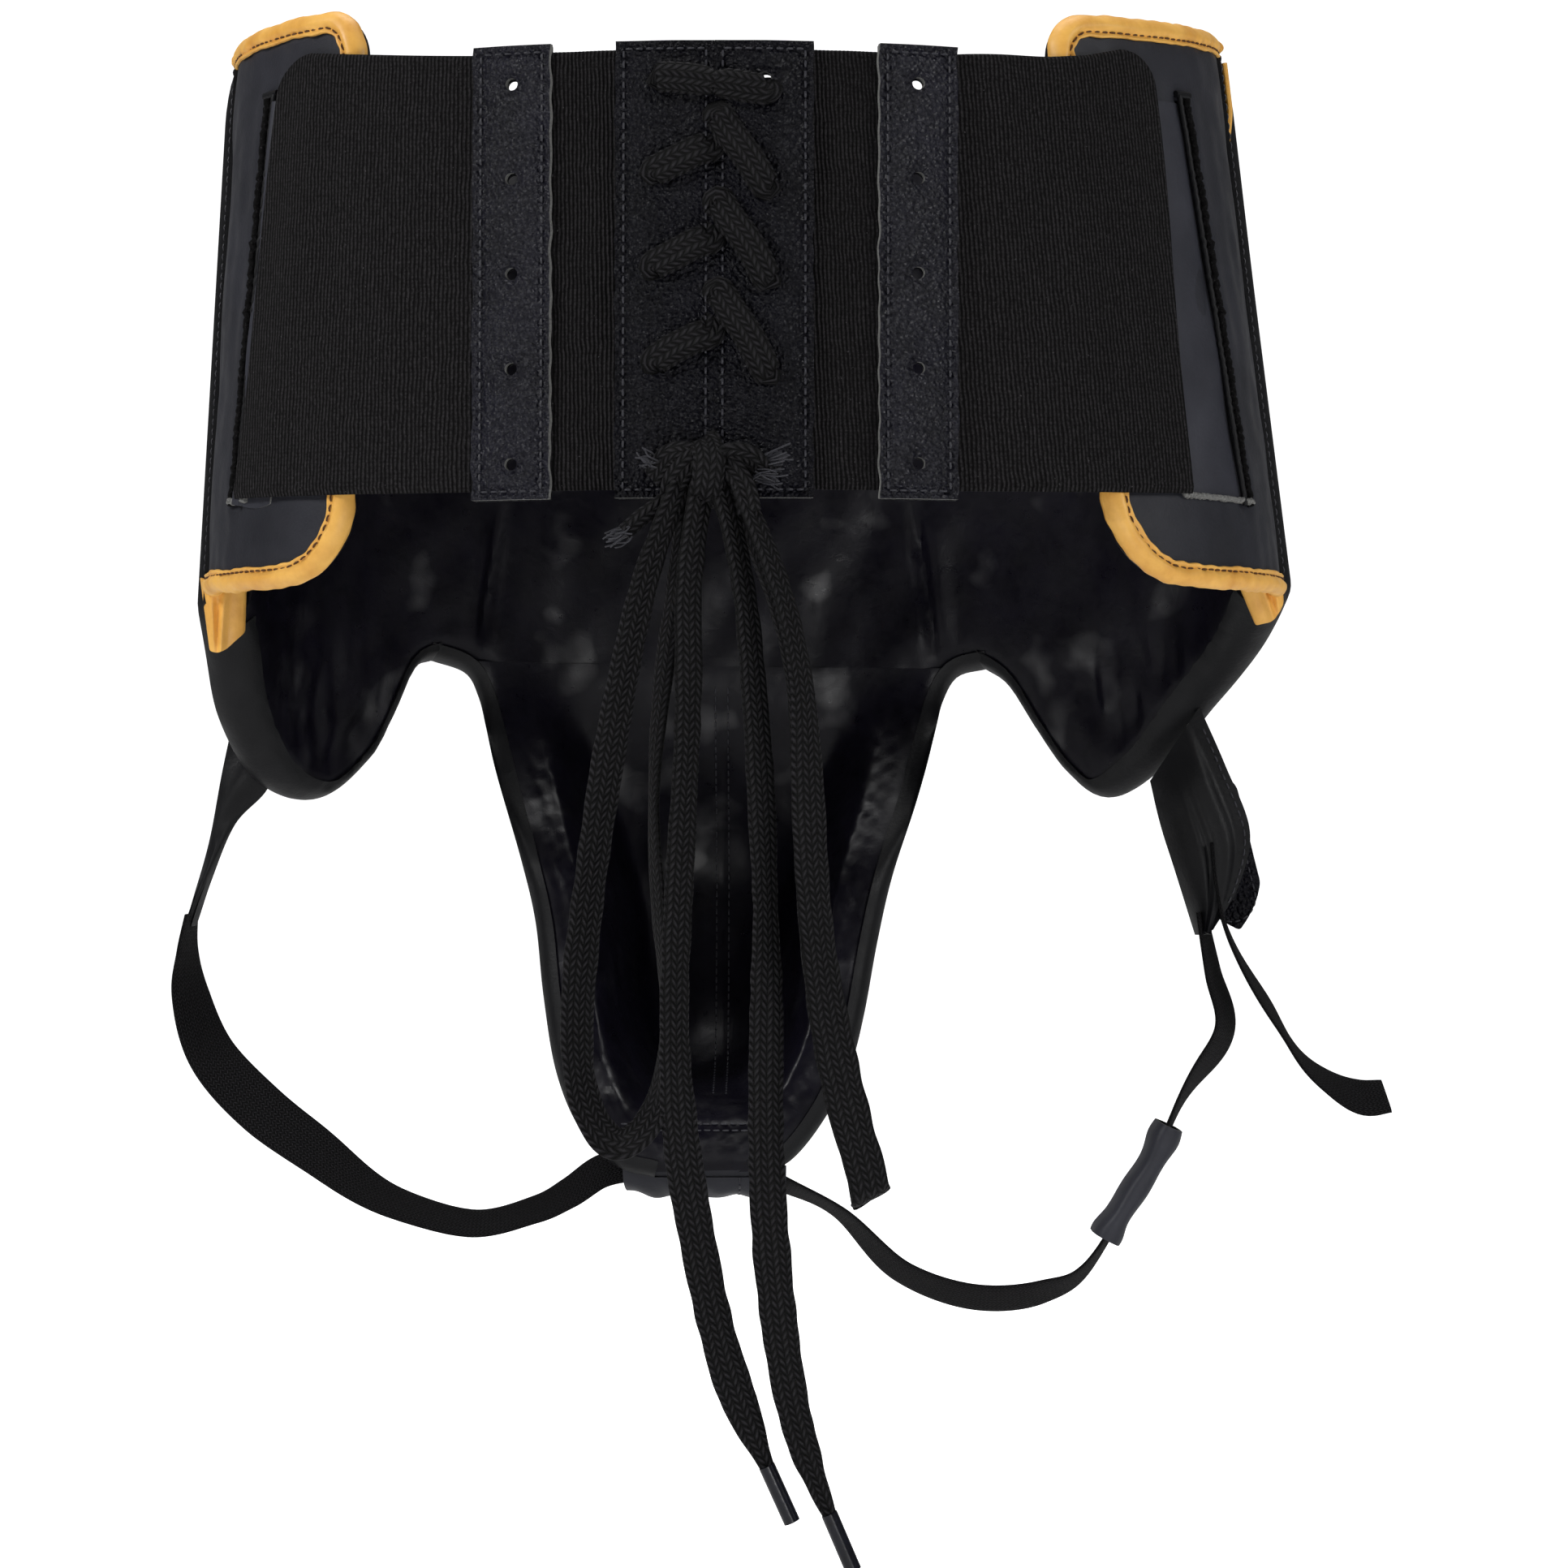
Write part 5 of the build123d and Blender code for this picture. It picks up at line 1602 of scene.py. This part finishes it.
def webbing(name, node, line, turns, body, seed, width=STRAP_WIDTH, thick=1.5):
    """Webbing carried along a line, turned edge-on or flat by angles given along it."""
    line = resample(line, int(lengths(line)[-1] / 1.3))
    run = lengths(line)
    share = run / run[-1]
    places, degrees = zip(*turns)
    spun = smooth_curve(np.array([places, degrees]).T, 10)
    angle = np.radians(np.interp(share, spun[:, 0], spun[:, 1]))
    along = tangents(line)
    facing = np.broadcast_to([0.0, 1.0, 0.0], along.shape)
    level = unit(np.cross(along, facing))
    across = facing * np.cos(angle)[:, None] + level * np.sin(angle)[:, None]
    sway = 0.8 * ripples(run, 0.0 * run, 45.0, seed)
    line = line + np.cross(along, across) * sway[:, None] * np.sin(math.pi * share)[:, None]
    rings = band(line, across, width, thick, 20, 4.0)
    points, faces = tube_parts(rings)
    piece = make_piece(name, points, faces, [MATERIALS["webbing"]], band_uv(line, width, 20), sharp=50.0)
    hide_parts(node)
    if body is not None:
        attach(piece, body)
    return piece, float(run[-1])


def build_straps():
    piece, long = webbing(
        "left_leg_webbing", "left_leg_strap", strap_line(LEFT_STRAP),
        [(0.0, 2), (0.06, 12), (0.14, 34), (0.3, 58), (0.42, 52), (0.6, 26), (0.8, 22), (0.92, 30), (1.0, 30)], None, 101,
    )
    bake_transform(piece)
    piece, long = webbing(
        "right_leg_webbing", "right_leg_strap", strap_line(RIGHT_STRAP),
        [(0.0, 15), (0.12, 24), (0.2, 28), (0.3, 12), (0.5, 14), (0.62, 34), (0.8, 28), (0.92, 16), (1.0, 22)], None, 103,
    )
    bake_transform(piece)
    build_tail()
    build_sleeve()


def build_tail():
    line = strap_line(TAIL)
    piece, long = webbing(
        "right_tail_webbing", "right_strap_tail", line,
        [(0.0, 0), (0.3, 8), (0.5, 14), (0.65, 10), (0.8, 20), (0.92, 34), (1.0, 30)], "strap_tail", 105,
    )


def oval_sleeve(name, line, across, width, thick, wall, material, kinds=(0, 0, 1)):
    """An open tube of leather: an oval carried along a line, with a wall and cut ends."""
    rings = band(line, across, width, thick, 28, 3.0)
    inner = band(line, across, width - 2 * wall, thick - 2 * wall, 28, 3.0)
    rings = np.concatenate([rings, rings[:, :1]], axis=1)
    inner = np.concatenate([inner, inner[:, :1]], axis=1)
    count, around = rings.shape[:2]
    top = np.arange(count * around).reshape(count, around)
    top[:, -1] = top[:, 0]
    low = top + count * around
    keep = np.ones((count - 1, around - 1), bool)
    ends = [
        np.stack([low[0, :-1], low[0, 1:], top[0, 1:], top[0, :-1]], -1),
        np.stack([top[-1, :-1], top[-1, 1:], low[-1, 1:], low[-1, :-1]], -1),
    ]
    faces = [cell_faces(top, keep), cell_faces(low, keep)[:, ::-1], np.concatenate(ends)]
    points = np.concatenate([rings.reshape(-1, 3), inner.reshape(-1, 3)])
    return make_piece(name, points, faces, [MATERIALS[material], MATERIALS["cut_edge"]], kinds=list(kinds))


def build_sleeve():
    (x0, z0), (x1, z1) = SLEEVE_ENDS
    share = np.linspace(0.0, 1.0, 40)
    line = as_points(mix(x0, x1, share), STRAP_Y + 0.0 * share, mix(z0, z1, share))
    line[:, 0] += 0.8 * np.sin(share * 5.0)
    across = np.broadcast_to([0.0, 1.0, 0.0], line.shape)
    wide = 21.5 + 0.5 * np.sin(share * 9.0)
    thick = 8.0 + 1.6 * bell(share - 0.1, 0.12) + 1.8 * bell(share - 0.95, 0.1) + 0.5 * np.sin(share * 14.0)
    piece = oval_sleeve("strap_leather_sleeve", line, across, wide, thick, 1.4, "tongue_leather")
    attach(piece, "root")
    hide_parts("right_strap_sleeve")


def sheet_between(name, left, right, bow, thick, materials, body, node, rows=60, columns=40):
    """A leather sheet ruled between two side lines, bowed in depth by a function of (across, along)."""
    left, right = resample(smooth_curve(left, 10), rows), resample(smooth_curve(right, 10), rows)
    u = np.linspace(0.0, 1.0, columns)[None, :, None]
    face = left[:, None] + (right - left)[:, None] * u
    v = np.linspace(0.0, 1.0, rows)[:, None]
    face = face.copy()
    face[..., 1] = face[..., 1] + bow(u[..., 0], v)
    normal = unit(np.cross(np.gradient(face, axis=0), np.gradient(face, axis=1)))
    normal = normal * np.sign(normal[..., 1:2] + 1e-9)
    piece = shell(name, face, face + normal * thick, materials, kinds=(0, 0, 1))
    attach(piece, body)
    if node:
        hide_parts(node)
    return face


def build_tabs():
    """Left tab: a tapered fold of leather that narrows into the strap. Right tab: a half-rolled sheet and a rounded tongue."""
    leather = [MATERIALS["soft_leather"], MATERIALS["cut_edge"]]
    left = np.array([(-158.0, 44, -124), (-161.5, 44, -140), (-166.0, 44.5, -160), (-171.8, 45, -180), (-174.6, 46, -191)], float)
    right = np.array([(-143.0, 44, -130), (-147.0, 44, -146), (-158.0, 44.5, -158), (-166.0, 45, -176), (-171.2, 46, -191)], float)
    sheet_between(
        "left_leg_leather", left, right,
        lambda u, v: 5.0 * (2 * u - 1) ** 2 * ease(v * 1.4) - 2.2 * np.sin(v * 7.0) * (1 - u) + 0.8 * np.sin(u * 6.0 + v * 9.0),
        1.6, leather, "left_tab", "left_leg_tab",
    )
    left = np.array([(138.0, 47, -144), (140.5, 45, -154), (146.0, 43, -172), (153.0, 43, -194)], float)
    right = np.array([(153.8, 47, -120), (162.0, 44.5, -139), (169.8, 44, -160), (166.0, 44, -178), (158.0, 44, -192)], float)
    face = sheet_between(
        "right_leg_leather", left, right,
        lambda u, v: 9.0 * (1 - u) ** 5 * (0.2 + 0.8 * ease(v * 2.5)) - 4.5 * ease(0.25 + v * 3.0) * np.sin(math.pi * np.clip(u * 1.25, 0, 1)) * (0.6 + 0.4 * v)
        + 1.1 * bell(u - 0.42, 0.05) * ease(v * 2) - 0.9 * bell(u - 0.7, 0.08) + 0.5 * np.sin(v * 8 + u * 5),
        1.7, leather, "right_tab", "right_leg_tab",
    )
    rows, columns = face.shape[:2]
    line = face[4:rows - 6, columns - 4]
    seam = [(resample(line, 60), np.broadcast_to([0.2, -1.0, 0.0], (60, 3)))]
    stitching("right_tab_stitches", seam, "right_tab", pitch=3.2, long=2.3, thick=0.6)
    build_rounded_tongue()


def build_rounded_tongue():
    """A stadium of leather: a grid squeezed into half circles at its ends, slightly domed."""
    t = np.linspace(-1.0, 1.0, 61)[None]
    w = np.linspace(-1.0, 1.0, 25)[:, None]
    long, half = 29.0, 10.5
    straight = long - half
    turn = math.pi / 2
    u = straight * t + half * np.sin(turn * t) * np.sqrt(np.clip(1 - (0.94 * w) ** 2, 0, 1))
    v = half * w * np.sqrt(np.clip(1.0 - np.clip((np.abs(t) - 0.62) / 0.4, 0, 1) ** 2, 0.0004, 1))
    lean = math.radians(-76.0)
    x = 160.5 + u * math.cos(lean) - v * math.sin(lean)
    z = -164.0 + u * math.sin(lean) + v * math.cos(lean)
    y = 54.0 - 1.2 * (1 - w**2) + 0.6 * np.sin(t * 4.0) + 0.0 * z
    face = as_points(*np.broadcast_arrays(x, y, z))
    back = face + [0.0, 2.2, 0.0]
    piece = shell("rounded_leather_tongue", face, back, [MATERIALS["pebbled"], MATERIALS["cut_edge"]], kinds=(0, 0, 1))
    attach(piece, "right_tab")
    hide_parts("right_rounded_tongue")
    inner = face[3:-3, 4:-4]
    loop = np.vstack([inner[0], inner[:, -1], inner[-1][::-1], inner[::-1, 0]])
    loop = resample(loop, 160)
    stitching(
        "rounded_tongue_stitches", [(loop, np.broadcast_to([0.0, -1.0, 0.0], (160, 3)))], "right_tab",
        pitch=2.8, long=1.9, thick=0.55, lift=0.2,
    )


# ---- camera, lights and backdrop ----
def add_area(name, place, aim, size, watts, colour=(1.0, 1.0, 1.0)):
    light = bpy.data.lights.new(name, "AREA")
    light.energy = watts
    light.shape = "RECTANGLE"
    light.size, light.size_y = size
    light.color = colour
    holder = bpy.data.objects.new(name, light)
    holder.location = place
    holder.rotation_euler = (Vector(aim) - Vector(place)).to_track_quat("-Z", "Y").to_euler()
    bpy.context.scene.collection.objects.link(holder)
    return holder


def add_camera():
    camera = bpy.data.cameras.new("front_camera")
    camera.lens = 82.0
    camera.sensor_width = 36.0
    camera.clip_start = 0.01
    holder = bpy.data.objects.new("front_camera", camera)
    holder.location = (0.0195, -1.108, -0.145)
    holder.rotation_euler = (math.radians(90.0), 0.0, 0.0)
    bpy.context.scene.collection.objects.link(holder)
    bpy.context.scene.camera = holder


def add_stage(settings):
    scene = bpy.context.scene
    white = bpy.data.materials.new("white_backdrop")
    white.use_nodes = True
    shader = white.node_tree.nodes["Principled BSDF"]
    shader.inputs["Base Color"].default_value = (0.92, 0.92, 0.92, 1.0)
    shader.inputs["Roughness"].default_value = 0.9
    shader.inputs["Emission Color"].default_value = (1.0, 1.0, 1.0, 1.0)
    shine_on_camera(white.node_tree, settings.fill, shader.inputs["Emission Strength"])
    floor = sweep_floor(white)
    world = bpy.data.worlds.new("studio")
    world.use_nodes = True
    world.node_tree.nodes["Background"].inputs[0].default_value = (1.0, 1.0, 1.0, 1.0)
    shine_on_camera(world.node_tree, settings.fill, world.node_tree.nodes["Background"].inputs[1])
    scene.world = world
    lights = [
        add_area("key_light", (-1.25, -0.8, 0.85), (0.0, -0.05, -0.1), (0.45, 0.45), settings.key),
        add_area("fill_light", (1.3, -0.75, 0.45), (0.0, -0.05, -0.1), (0.6, 0.6), settings.key * 0.45),
        add_area("top_light", (0.0, 0.1, 1.1), (0.0, 0.0, -0.1), (0.9, 0.6), settings.key * 0.5),
        add_area("low_light", (0.1, -0.9, -0.34), (0.0, 0.05, -0.15), (0.5, 0.15), settings.key * 0.12),
    ]
    scene.view_settings.view_transform = "Standard"
    scene.view_settings.look = "None"


def shine_on_camera(tree, fill, socket):
    """Full white where it is seen directly, and only the fill's strength where it lights the guard."""
    seen = tree.nodes.new("ShaderNodeLightPath")
    glow = tree.nodes.new("ShaderNodeMapRange")
    glow.inputs["To Min"].default_value = fill
    glow.inputs["To Max"].default_value = 1.0
    tree.links.new(seen.outputs["Is Camera Ray"], glow.inputs["Value"])
    tree.links.new(glow.outputs[0], socket)


def sweep_floor(material):
    """A floor below the guard that curves up into a wall behind it."""
    x = np.linspace(-6.0, 6.0, 9)[None]
    turn = np.linspace(0.0, math.pi / 2, 16)
    y = np.concatenate([[-5.0, 0.0], 3.6 + 1.4 * np.sin(turn), [5.0]])[:, None]
    z = np.concatenate([[-0.376, -0.376], -0.376 + 1.4 * (1 - np.cos(turn)), [5.0]])[:, None]
    points = as_points(*np.broadcast_arrays(x, y, z))
    ids = np.arange(points.shape[0] * 9).reshape(-1, 9)
    faces = [cell_faces(ids, np.ones((len(ids) - 1, 8), bool))]
    return make_piece("white_sweep", points.reshape(-1, 3) / MM, faces, [material], closed=False)


# ---- settings, operators and panel ----
class GuardColours(bpy.types.PropertyGroup):
    leather: FloatVectorProperty(
        name="Leather", description="Smooth leather of the wings, front and cup", subtype="COLOR", size=3,
        min=0.0, max=1.0, default=(0.0185, 0.019, 0.0245),
    )
    strips: FloatVectorProperty(
        name="Strips", description="Pebbled leather of the strips", subtype="COLOR", size=3, min=0.0, max=1.0,
        default=(0.0028, 0.0027, 0.0052),
    )
    elastic: FloatVectorProperty(
        name="Elastic", description="Knit elastic of the back", subtype="COLOR", size=3, min=0.0, max=1.0,
        default=(0.0068, 0.0064, 0.0068),
    )
    binding: FloatVectorProperty(
        name="Binding", description="Tape round the edges", subtype="COLOR", size=3, min=0.0, max=1.0,
        default=(0.84, 0.46, 0.098),
    )
    satin: FloatVectorProperty(
        name="Satin", description="Lining of the front and cup", subtype="COLOR", size=3, min=0.0, max=1.0,
        default=(0.003, 0.0026, 0.0052),
    )
    lace: FloatVectorProperty(
        name="Lace", description="Flat laces and webbing", subtype="COLOR", size=3, min=0.0, max=1.0,
        default=(0.0054, 0.0051, 0.0058),
    )


class GuardSizes(bpy.types.PropertyGroup):
    tape: FloatProperty(
        name="Tape width", description="Width of the yellow binding on each face", unit="LENGTH", min=0.003, max=0.012,
        default=0.0053,
    )
    pitch: FloatProperty(
        name="Stitch pitch", description="Distance from one stitch to the next", unit="LENGTH", min=0.0015, max=0.006,
        default=0.003,
    )
    lace_thick: FloatProperty(
        name="Lace thickness", description="Thickness of the flat laces", unit="LENGTH", min=0.001, max=0.004,
        default=0.0022,
    )


class GuardStage(bpy.types.PropertyGroup):
    key: FloatProperty(name="Key light", description="Power of the key light, in watts", min=0.0, max=200.0, default=17.0)
    fill: FloatProperty(name="Fill", description="Strength of the studio's own light", min=0.0, max=3.0, default=0.09)
    threads: IntProperty(name="Seed", description="Seed for the folds of the laces", min=0, max=999, default=7)


class GUARD_OT_camera(bpy.types.Operator):
    """Add the camera and make the finishes"""

    bl_idname = "guard.camera"
    bl_label = "Camera and finishes"

    def execute(self, context):
        make_finishes(context.scene.guard_colours)
        add_camera()
        return {"FINISHED"}


class GUARD_OT_laces(bpy.types.Operator):
    """Make the two bow loops and the two lace ends, with their tips"""

    bl_idname = "guard.laces"
    bl_label = "Hanging laces"

    def execute(self, context):
        thick = context.scene.guard_sizes.lace_thick / MM
        seed = context.scene.guard_stage.threads
        hanging_lace("left", "loop", [(0, 7.0), (0.1, 9.0), (0.3, 10.5), (0.55, 10.0), (0.75, 7.5), (1, 7.0)], thick,
                     [(0, 40), (0.2, 25), (0.5, 35), (0.62, 80), (0.8, 60), (1, 30)], seed)
        hanging_lace("right", "loop", [(0, 7.0), (0.12, 8.5), (0.3, 11.0), (0.42, 12.0), (0.5, 12.0), (0.75, 8.5), (1, 7.0)], thick,
                     [(0, 55), (0.2, 35), (0.5, 15), (0.75, 40), (1, 40)], seed + 1)
        hanging_lace("left", "end", [(0, 7.5), (0.15, 8.0), (0.45, 8.5), (0.7, 10.5), (0.93, 10.5), (0.975, 6.5), (1, 4.2)], thick,
                     [(0, 25), (0.4, 30), (0.7, 10), (1, 15)], seed + 2)
        hanging_lace("right", "end", [(0, 7.5), (0.2, 8.0), (0.5, 9.5), (0.75, 10.8), (0.93, 9.5), (0.975, 6.5), (1, 4.2)], thick,
                     [(0, 35), (0.4, 30), (0.7, 12), (1, 25)], seed + 3)
        dress("left_aglet", "aglet")
        dress("right_aglet", "aglet")
        return {"FINISHED"}


class GUARD_OT_front(bpy.types.Operator):
    """Make the padded front: leather outside, foam, satin inside and yellow binding"""

    bl_idname = "guard.front"
    bl_label = "Front"

    def execute(self, context):
        sizes = context.scene.guard_sizes
        build_front_cover()
        build_front_foam()
        build_front_lining()
        tape = build_front_binding(sizes.tape / MM)
        pitch = sizes.pitch / MM
        stitching("front_binding_stitches", tape, "root", pitch, 0.72 * pitch, 0.6, 0.1, MATERIALS["binding_thread"])
        stitching("front_panel_stitches", front_seams(), "root", pitch, 0.72 * pitch, 0.6)
        stitching("side_lap_stitches", side_seams(), "root", pitch, 0.72 * pitch, 0.6)
        return {"FINISHED"}


class GUARD_OT_cup(bpy.types.Operator):
    """Make the cup: leather, foam, hard shell, rim roll and satin, and the leather tab at its toe"""

    bl_idname = "guard.cup"
    bl_label = "Cup"

    def execute(self, context):
        pitch = context.scene.guard_sizes.pitch / MM
        stitching("cup_stitches", build_cup(), "root", pitch, 0.72 * pitch, 0.6)
        stitching("crotch_tab_stitches", build_crotch_tab(), "root", pitch, 0.72 * pitch, 0.6)
        return {"FINISHED"}


class GUARD_OT_wings(bpy.types.Operator):
    """Make both wings, their binding and the tongues that run through their slots"""

    bl_idname = "guard.wings"
    bl_label = "Wings"

    def execute(self, context):
        sizes = context.scene.guard_sizes
        pitch = sizes.pitch / MM
        for sign, side in SIDES:
            tape = build_wing(sign, side, sizes.tape / MM)
            stitching(f"{side}_binding_stitches", tape, "root", pitch, 0.72 * pitch, 0.6, 0.1, MATERIALS["binding_thread"])
            build_tongue(sign, side)
            build_slot_rim(sign, side)
        z = np.linspace(74.0, 46.0, 40)
        ring_band("front_binding_turn", SIDE_ARC - 0.5 + 0.0 * z, z, 15.8 - 2.6 * ease((62.0 - z) / 16.0), 3.4, 1.9, "binding")
        return {"FINISHED"}


class GUARD_OT_back(bpy.types.Operator):
    """Make the elastic, the pebbled strips with their holes, and the criss-cross lace with its knot"""

    bl_idname = "guard.back"
    bl_label = "Laced back"

    def execute(self, context):
        for sign, side in SIDES:
            body = f"{side}_back"
            build_elastic(sign, side)
            build_strip(f"{side}_eyelet_leather", f"{side}_eyelet_strip", body, sign, sign * 57.0, 11.0, 1.75, 111)
            build_strip(f"{side}_lacing_leather", f"{side}_lacing_strip", body, sign, sign * 13.8, 13.78, 2.2, 121)
            dress(f"{side}_eyelet_backing", "pebbled")
            dress(f"{side}_lacing_backing", "pebbled")
            build_lacing(sign, side)
        build_knot()
        frayed_stub()
        return {"FINISHED"}


class GUARD_OT_legs(bpy.types.Operator):
    """Make the leg tabs, the webbing, the leather sleeve and the rounded tongue"""

    bl_idname = "guard.legs"
    bl_label = "Leg straps"

    def execute(self, context):
        build_tabs()
        build_straps()
        return {"FINISHED"}


class GUARD_OT_stage(bpy.types.Operator):
    """Add the lights and the white backdrop"""

    bl_idname = "guard.stage"
    bl_label = "Stage"

    def execute(self, context):
        add_stage(context.scene.guard_stage)
        return {"FINISHED"}


class GUARD_PT_panel(bpy.types.Panel):
    """The guard's settings and steps"""

    bl_idname = "GUARD_PT_panel"
    bl_label = "Laced groin protector"
    bl_space_type = "VIEW_3D"
    bl_region_type = "UI"
    bl_category = "Guard"

    def draw(self, context):
        layout = self.layout
        for group in (context.scene.guard_colours, context.scene.guard_sizes, context.scene.guard_stage):
            for key in group.bl_rna.properties.keys():
                if key not in ("rna_type", "name"):
                    layout.prop(group, key)
        for operator in OPERATORS:
            layout.operator(operator.bl_idname)


GROUPS = (("guard_colours", GuardColours), ("guard_sizes", GuardSizes), ("guard_stage", GuardStage))
OPERATORS = (
    GUARD_OT_camera, GUARD_OT_laces, GUARD_OT_front, GUARD_OT_cup, GUARD_OT_wings, GUARD_OT_back, GUARD_OT_legs,
    GUARD_OT_stage,
)


def register():
    for name, group in GROUPS:
        bpy.utils.register_class(group)
        setattr(bpy.types.Scene, name, PointerProperty(type=group))
    for operator in OPERATORS:
        bpy.utils.register_class(operator)
    bpy.utils.register_class(GUARD_PT_panel)


def unregister():
    bpy.utils.unregister_class(GUARD_PT_panel)
    for operator in reversed(OPERATORS):
        bpy.utils.unregister_class(operator)
    for name, group in reversed(GROUPS):
        delattr(bpy.types.Scene, name)
        bpy.utils.unregister_class(group)


def main():
    register()
    bpy.ops.guard.camera()
    bpy.ops.guard.laces()
    bpy.ops.guard.front()
    bpy.ops.guard.cup()
    bpy.ops.guard.wings()
    bpy.ops.guard.back()
    bpy.ops.guard.legs()
    bpy.ops.guard.stage()


if __name__ == "__main__":
    main()
